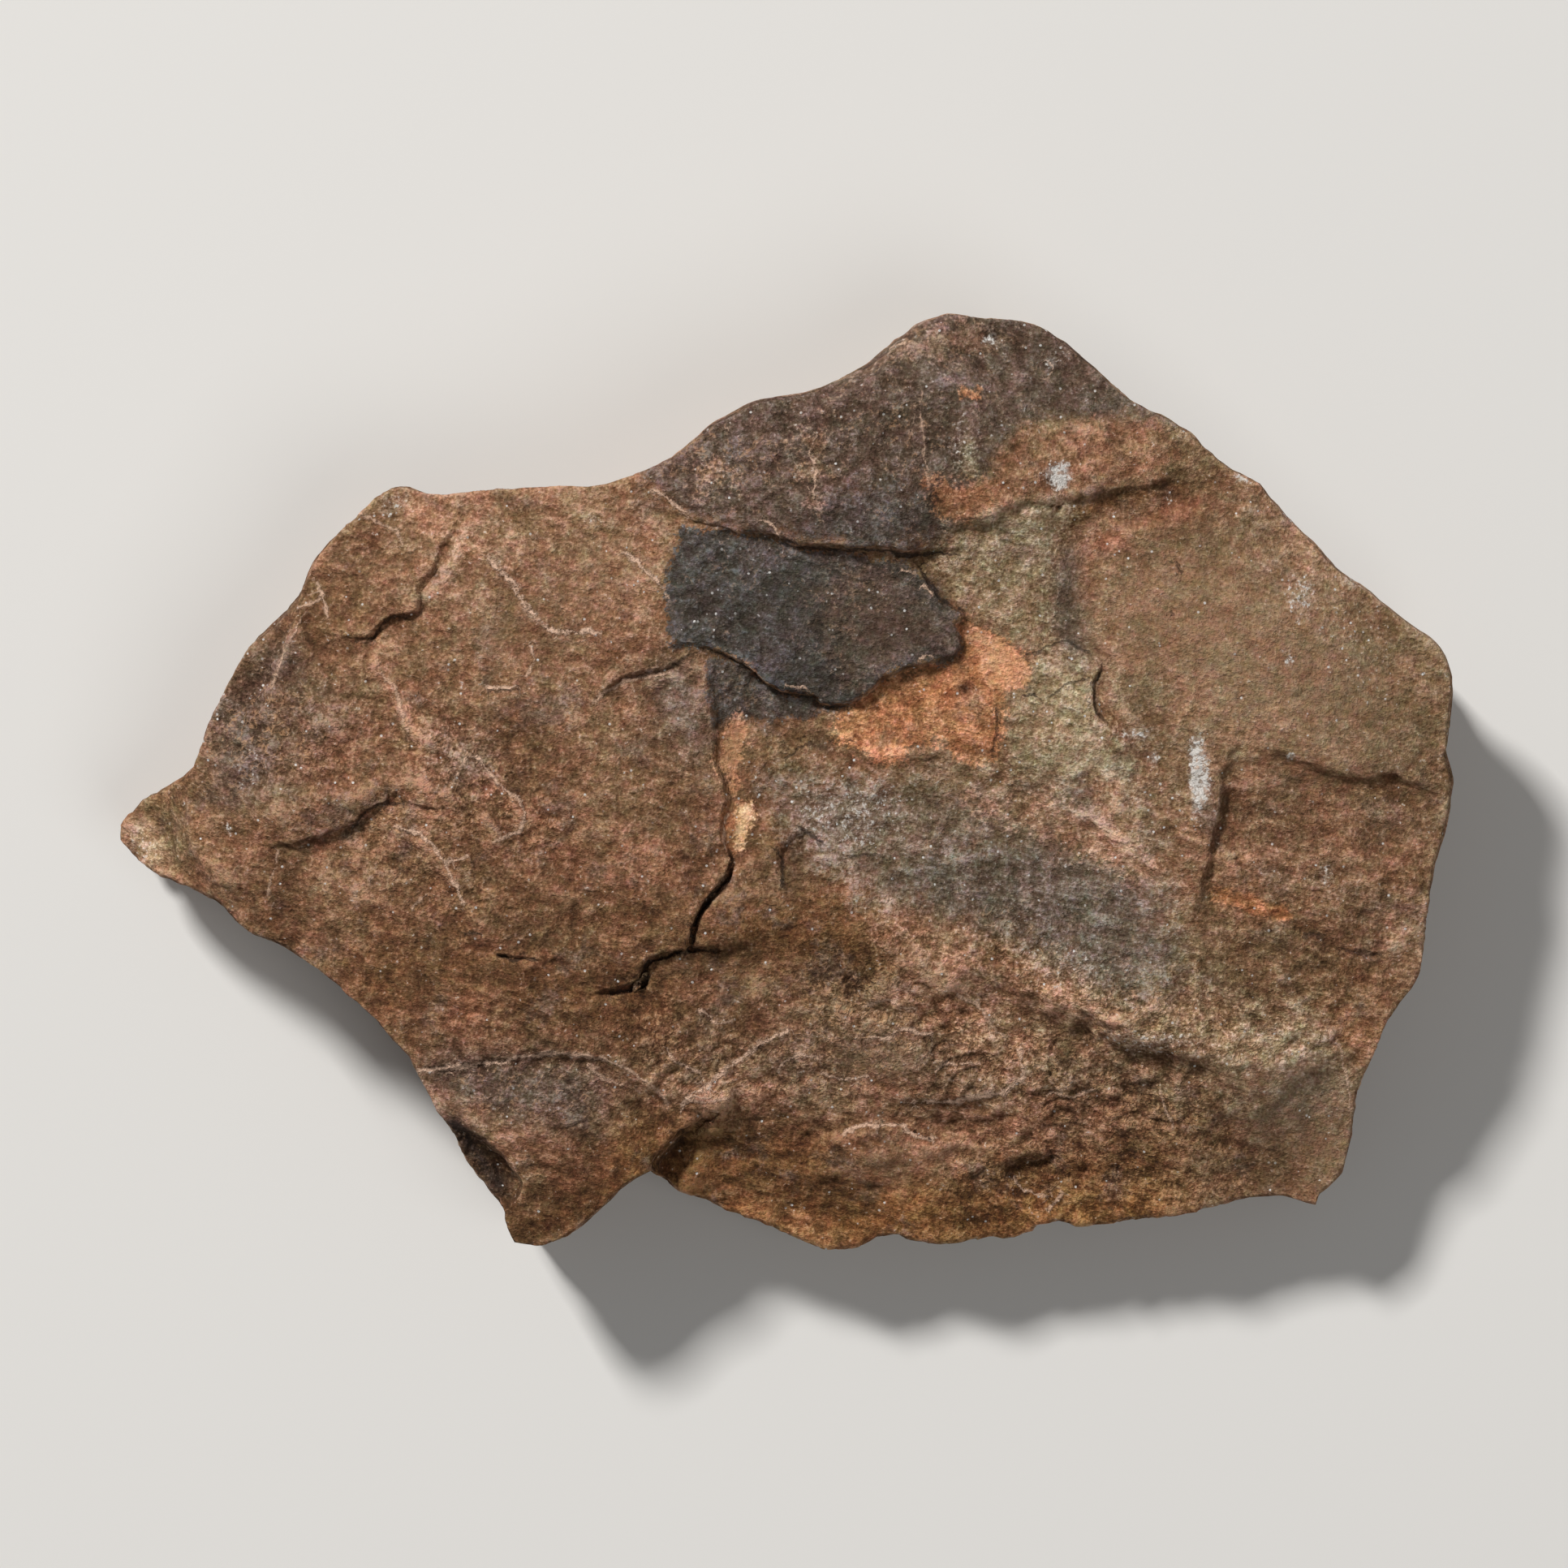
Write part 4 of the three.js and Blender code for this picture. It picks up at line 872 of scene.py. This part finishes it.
def lay_out(mesh, sides):
    """The baking map: the face at the bottom, and above it the underside and the walls in strips."""
    points = read(mesh.vertices, "co", 3)
    sizes = read(mesh.polygons, "loop_total", kind=int)
    polygon = np.repeat(np.arange(len(sizes)), sizes)
    corner = points[read(mesh.loops, "vertex_index", kind=int)]
    middle = np.column_stack([np.bincount(polygon, axis) / sizes for axis in corner.T])[polygon]
    low, high = points.min(0), points.max(0)
    place = MAP_MARGIN + (corner[:, :2] - low[:2]) * FACE_ACROSS / (high[0] - low[0])

    under = sides[polygon] == UNDERSIDE
    turned = np.column_stack([high[0] - corner[:, 0], corner[:, 1] - low[1]])
    scale = UNDERSIDE_ACROSS / (high[0] - low[0])
    place[under] = ((MAP_MARGIN, UPPER_ROW) + turned * scale)[under]

    wall = sides[polygon] == WALL
    angle = np.arctan2(middle[:, 1], middle[:, 0])
    turn = np.arctan2(corner[:, 1], corner[:, 0]) - angle
    turn = (turn + math.pi) % (2 * math.pi) - math.pi
    strip = np.minimum(np.floor(around(angle, corner[wall]) * WALL_STRIPS), WALL_STRIPS - 1)
    along = around(angle + turn, corner[wall]) * WALL_STRIPS - strip
    rise = (corner[:, 2] - low[2]) / (high[2] - low[2])
    across = UNDERSIDE_ACROSS + 3 * MAP_MARGIN + along * STRIP_ACROSS
    place[wall] = np.column_stack([across, UPPER_ROW + (strip + rise * STRIP_FILL) * STRIP_UP])[wall]

    layer = mesh.uv_layers.new(name="OFBake")
    layer.uv.foreach_set("vector", place.clip(0, 1).astype(np.float32).ravel())


# ---------------------------------------------------------------- shader maths

class Socket:
    """One output of a node. Sums, products and powers of it add Math nodes."""

    def __init__(self, nodes, output):
        self.nodes = nodes
        self.output = output

    def maths(self, operation, *values):
        """A Math node's result for these values."""
        return self.nodes.add("ShaderNodeMath", {"operation": operation}, dict(enumerate(values)))

    def __add__(self, other):
        return self.maths("ADD", self, other)

    def __sub__(self, other):
        return self.maths("SUBTRACT", self, other)

    def __rsub__(self, other):
        return self.maths("SUBTRACT", other, self)

    def __mul__(self, other):
        return self.maths("MULTIPLY", self, other)

    def __pow__(self, other):
        return self.maths("POWER", self, other)

    def __rpow__(self, other):
        return self.maths("POWER", other, self)

    def __abs__(self):
        return self.maths("ABSOLUTE", self)

    def at_least(self, other):
        return self.maths("MAXIMUM", self, other)

    def at_most(self, other):
        return self.maths("MINIMUM", self, other)

    __radd__ = __add__
    __rmul__ = __mul__


class Nodes:
    """The nodes of one material."""

    def __init__(self, name):
        self.material = bpy.data.materials.new(name)
        self.material.use_nodes = True
        self.tree = self.material.node_tree
        self.tree.nodes.clear()

    def add(self, kind, settings, inputs, output=0):
        """Adds a node, sets it, fills or links its sockets, and gives one of its outputs."""
        node = self.tree.nodes.new(kind)
        for name, value in settings.items():
            setattr(node, name, value)
        for name, value in inputs.items():
            if isinstance(value, Socket):
                self.tree.links.new(value.output, node.inputs[name])
            elif isinstance(value, tuple) and node.inputs[name].type == "RGBA":
                node.inputs[name].default_value = (*value, 1)
            else:
                node.inputs[name].default_value = value
        return Socket(self, node.outputs[output]) if len(node.outputs) else None

    def finish(self, inputs):
        """The surface, with these values on its sockets."""
        surface = self.add("ShaderNodeBsdfPrincipled", {}, inputs)
        self.add("ShaderNodeOutputMaterial", {}, {"Surface": surface})

    def field(self, name):
        """A field that the mesh carries: the colour of the stains and painted light, or a value."""
        output = "Color" if name == "stain_and_painted_light" else "Fac"
        return self.add("ShaderNodeAttribute", {"attribute_name": name}, {}, output)

    def line(self, name, wander, thickness):
        """How much of a thin line shows: it wanders, and is as thick as thickness times its half width."""
        across = abs(self.field(name + "_side") + wander)
        return self.rise(across, thickness, thickness * 0.3) * self.field(name)

    def rise(self, value, low, high):
        """A smooth rise from 0 at low to 1 at high, or a fall where low is the greater."""
        settings = {"interpolation_type": "SMOOTHSTEP"}
        return self.add("ShaderNodeMapRange", settings, {0: value, 1: low, 2: high})

    def mix(self, share, first, second, blend="MIX"):
        """Blends two colours."""
        settings = {"data_type": "RGBA", "blend_type": blend}
        return self.add("ShaderNodeMix", settings, {0: share, 6: first, 7: second}, 2)

    def cloud(self, where, size, detail=3, roughness=0.55, distortion=0.0, output=0):
        """Noise whose patches are about `size` metres across, 0 to 1."""
        inputs = {"Vector": where, "Scale": 1 / size, "Detail": detail, "Roughness": roughness,
                  "Distortion": distortion}
        return self.add("ShaderNodeTexNoise", {}, inputs, output)

    def threads(self, where, size, width):
        """Thin wandering lines about `size` metres apart, 0 between them to 1 along their middle."""
        across = abs(self.cloud(where, size, 2, 0.6, distortion=0.3) - 0.5)
        return self.rise(across, width, 0.0)

    def grains(self, where, size, output="Color"):
        """Cells about `size` metres across: each one's random colour, or the distance to its middle."""
        return self.add("ShaderNodeTexVoronoi", {}, {"Vector": where, "Scale": 1 / size}, output)

    def part(self, colour, channel):
        """One channel of a colour as a value."""
        return self.add("ShaderNodeSeparateColor", {}, {0: colour}, channel)

    def stretched(self, where, times, turn=0.0):
        """Coordinates in which a pattern is so many times longer on each axis, turned about the vertical."""
        inputs = {"Vector": where, "Rotation": (0, 0, turn), "Scale": times}
        return self.add("ShaderNodeMapping", {"vector_type": "TEXTURE"}, inputs)


# ---------------------------------------------------------------- the sandstone

BED_TURN = math.radians(-14)  # how the beds' streaks lie on the face
MICA_CELL = 0.5 * MM
OLIVE_DRIFT = (0.93, 1.0, 0.91)
RED_DRIFT = (1.1, 0.98, 0.93)


def patterns(stone):
    """The noises and fields that the stone's colours and its bumps share."""
    where = stone.add("ShaderNodeTexCoord", {}, {}, "Object")
    along_beds = stone.stretched(where, (5, 1, 1), BED_TURN)
    lumpy = stone.stretched(where, (1.5, 1, 1), BED_TURN)
    layers = stone.stretched(where, (14, 14, 1))
    return SimpleNamespace(
        where=where,
        broad=stone.cloud(where, 13 * MM, 4, 0.6),
        grain=stone.cloud(where, 1.4 * MM, 5, 0.8),
        fine=stone.cloud(where, 0.46 * MM, 2, 0.6),
        streaks=stone.cloud(along_beds, 1.1 * MM, 5, 0.8),
        worms=stone.threads(where, 1.9 * MM, 0.06),
        # rounded lumps with sharp creases between them, 0 in a crease
        lumps=abs(stone.cloud(lumpy, 3 * MM, 4, 0.62) - 0.5),
        beds=stone.cloud(layers, 2.6 * MM, 6, 0.72) - 0.5,
        wander=(stone.cloud(where, 1.6 * MM, 5, 0.8) - 0.5) * 7,
        pebbled=stone.field("pebbled"),
        streaked=stone.field("streaked"),
        smooth=stone.field("smooth"),
        wall=stone.field("wall"),
    )


def stains_and_painted_light(stone, look):
    """The broad stains and strokes of painted shade and light, with the beds and scars laid over them."""
    # how far the edges stray, in millimetres
    ragged = (stone.cloud(look.where, 3.4 * MM, 5, 0.75) - 0.5) * 5 + (look.fine - 0.5) * 2.4
    colour = stone.field("stain_and_painted_light")
    for name, (paint, cover, edge, stray, _) in AREAS.items():
        inside = stone.rise(stone.field(name) + ragged * stray, -edge, edge)
        colour = stone.mix(inside * cover, colour, PAINTS[paint])
    return colour


def many_hued(stone, look, colour):
    """A drift towards red and towards olive, plum patches, and grains of many hues."""
    hue = stone.rise(stone.cloud(look.where, 5 * MM, 5, 0.75), 0.36, 0.64)
    colour = stone.mix(1.0, colour, stone.mix(hue, OLIVE_DRIFT, RED_DRIFT), "MULTIPLY")
    mottle = stone.rise(stone.cloud(look.where, 7 * MM, 6, 0.72), 0.53, 0.64)
    colour = stone.mix(mottle * 0.4 * (1 - look.smooth), colour, PAINTS["plum"])
    hues = {0: stone.cloud(look.where, 1.5 * MM, 4, 0.8, output=1), 1: (0.6,) * 3, 2: (0.7,) * 3}
    hues = stone.add("ShaderNodeVectorMath", {"operation": "MULTIPLY_ADD"}, hues)
    return stone.mix(1.0, colour, hues, "MULTIPLY")


def bedded(stone, look, colour):
    """The walls' thin beds: pale where they stand out, dark where they fall back."""
    colour = stone.mix(look.wall * stone.rise(look.beds, 0.03, 0.1) * 0.6, colour, PAINTS["tan"])
    return stone.mix(look.wall * stone.rise(look.beds, -0.05, -0.12) * 0.7, colour, PAINTS["umber"])


def mottled(stone, look, colour):
    """Light and dark from patches down to single grains, dark being redder, with painted shade and highlight
    that follow the relief, and pale curly threads.
    """
    tone = (look.broad - 0.5) * 1.2 + (look.grain - 0.5) * (2.0 + look.pebbled * 2.2 + look.streaked)
    tone = tone + (look.fine - 0.5) * (2.6 + look.pebbled * 1.4)
    tone = tone + (look.streaks - 0.5) * (1.8 + look.streaked * 2)
    # Painted shade and highlight: darker in creases, hollows of the relief and creases between lumps, lighter
    # on their tops. The paler crests are partly worn edges.
    tone = tone + stone.field("crest") * 0.4 + stone.field("relief") * 0.6 + (look.lumps - 0.1) * 1.6
    # On the walls, painted highlight where the beds' bumps stand out and painted shade where they fall back.
    tone = tone * (1 - look.smooth * 0.55) + look.wall * look.beds * 2 + 0.24
    light = (math.e ** tone).at_least(0.3).at_most(2.6)
    shade = stone.add("ShaderNodeCombineColor", {}, {0: light, 1: light ** 1.18, 2: light ** 1.45})
    colour = stone.mix(1.0, colour, shade, "MULTIPLY")
    most = look.grain + (look.fine - 0.5) * 0.5 + (look.broad - 0.5) * 0.6 + look.pebbled * 0.06
    thread = look.worms * stone.rise(most, 0.53, 0.63)
    return stone.mix(thread * (0.2 + look.pebbled * 0.5), colour, PAINTS["thread"])


def vein_and_shaded_seam(stone, look):
    """How much of a pale vein and of a dark seam shows, the seam's dark partly painted shade: broken, and of
    a ragged width.
    """
    broken = stone.rise(stone.cloud(look.where, 2.4 * MM, 4, 0.7), 0.34, 0.44)
    broken = broken * (0.55 + stone.rise(look.fine, 0.35, 0.5) * 0.45)
    vein = stone.line("vein", look.wander, 1.5 + (look.grain - 0.5) * 9) * broken
    return vein, stone.line("seam_and_shade", look.wander, 0.8 + (look.grain - 0.5) * 6)


def powder_and_painted_glint(stone, look):
    """How much bright powder shows in the spots, some of them painted glints, and how much of a flake of
    mica, painted near white as a glint.
    """
    flake = stone.grains(look.where, MICA_CELL)
    spot = stone.field("bright")
    powder_and_glints = stone.rise(spot + (look.grain - 0.5) * 1.5 + (look.fine - 0.5) * 1.2, 0.1, 1.1)
    speckled = stone.rise(powder_and_glints + (stone.part(flake, 0) - 0.5) * 1.1 + (look.fine - 0.5), 0.6, 0.95)
    near = stone.rise(stone.grains(look.where, MICA_CELL, "Distance"), 0.44, 0.26)
    dense = spot * 0.03 + stone.field("mica_glint") * 0.02
    painted_glint = stone.rise(stone.part(flake, 2) + dense, 0.988, 0.993) * near
    return powder_and_glints * 0.35 + speckled * 0.65, painted_glint * (0.35 + stone.part(flake, 1) * 0.65)


def sandstone():
    """The stone's material: its stains and painted light, then its grain with painted shade and highlight,
    veins, seams with painted shade, powder, and mica with painted glints.
    """
    stone = Nodes("sandstone")
    look = patterns(stone)
    vein, seam_and_shade = vein_and_shaded_seam(stone, look)
    powder_and_glints, painted_glint = powder_and_painted_glint(stone, look)
    colour = mottled(stone, look, bedded(stone, look, many_hued(stone, look, stains_and_painted_light(stone, look))))
    colour = stone.mix(vein * 0.9, colour, PAINTS["vein"])
    # dark seams: the cracks' own dark, and painted shade in them and at the feet of ledges
    colour = stone.mix(seam_and_shade * 0.75, colour, PAINTS["seam_and_shade"])
    # bright powder, and in some spots painted glints
    colour = stone.mix(powder_and_glints * 0.9, colour, PAINTS["powder_and_glints"])
    # painted glints: mica flakes near white, as where they catch the light
    colour = stone.mix(painted_glint * 0.95, colour, PAINTS["mica_glint"])

    height = (look.grain - 0.5) * 0.6 + (look.fine - 0.5) * 0.2
    height = height + (look.streaks - 0.5) * (0.25 + look.streaked * 0.35) + look.lumps * 1.5
    height = height + look.worms * (0.03 + look.pebbled * 0.14) + look.wall * look.beds * 2.5
    height = height + vein * 0.2 - seam_and_shade * 0.5
    bump = stone.add("ShaderNodeBump", {}, {"Strength": 1.0, "Distance": MM, "Height": height})
    stone.finish({
        "Base Color": colour,
        "Roughness": 0.88 - painted_glint * 0.5 - (look.fine - 0.5) * 0.1,
        "Specular IOR Level": 0.3,
        "Normal": bump,
    })
    return stone.material


# ---------------------------------------------------------------- the studio

FLOOR_HALF = 6.0
SLAB_MIDDLE = (0, 0, 0.02)
FACE_HEIGHT = 0.021  # height at which a plan square is as wide as it says


def plain(name, colour, roughness):
    """A material of one colour."""
    nodes = Nodes(name)
    nodes.finish({"Base Color": colour, "Roughness": roughness})
    return nodes.material


def make_floor():
    mesh = bpy.data.meshes.new("floor")
    corners = [(x * FLOOR_HALF, y * FLOOR_HALF, 0) for x, y in ((-1, -1), (1, -1), (1, 1), (-1, 1))]
    mesh.from_pydata(corners, [], [(0, 1, 2, 3)])
    mesh.materials.append(plain("floor_paint", srgb(226, 223, 218), 0.9))
    floor = bpy.data.objects.new("floor", mesh)
    bpy.context.scene.collection.objects.link(floor)


def make_light(name, place, size, power):
    """A square lamp that faces the slab."""
    data = bpy.data.lights.new(name, "AREA")
    data.shape = "SQUARE"
    data.size = size
    data.energy = power
    light = bpy.data.objects.new(name, data)
    bpy.context.scene.collection.objects.link(light)
    light.location = place
    light.rotation_euler = (Vector(SLAB_MIDDLE) - Vector(place)).to_track_quat("-Z", "Y").to_euler()


def make_camera():
    """Straight over the slab, with the plan's top edge up."""
    data = bpy.data.cameras.new("camera")
    data.lens = 200
    data.sensor_width = 36
    data.clip_start = 0.01
    data.clip_end = 20
    camera = bpy.data.objects.new("camera", data)
    bpy.context.scene.collection.objects.link(camera)
    x, y = on_slab([VIEW_CENTRE])[0]
    camera.location = (x, y, FACE_HEIGHT + VIEW_ACROSS * SQUARE * data.lens / data.sensor_width)
    bpy.context.scene.camera = camera


def make_world():
    world = bpy.data.worlds.new("studio")
    world.use_nodes = True
    background = world.node_tree.nodes["Background"]
    background.inputs["Color"].default_value = (0.95, 0.97, 1.0, 1)
    background.inputs["Strength"].default_value = 0.12
    bpy.context.scene.world = world


make_camera()
make_world()
make_floor()
make_light("key_light", (-1.86, 2.34, 2.34), 0.6, 162)
make_light("fill_light", (1.65, -1.5, 3.3), 2.4, 30.6)
bpy.context.scene.view_settings.view_transform = "Standard"

slab_rock = make_rock(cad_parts["slab"])
record_fields(slab_rock.data)
lay_out(slab_rock.data, read(slab_rock.data.polygons, "material_index", kind=int))
slab_rock.data.materials.clear()
slab_rock.data.materials.append(sandstone())
slab_rock.data.polygons.foreach_set("material_index", [0] * len(slab_rock.data.polygons))
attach(slab_rock, "root")
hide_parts("slab")
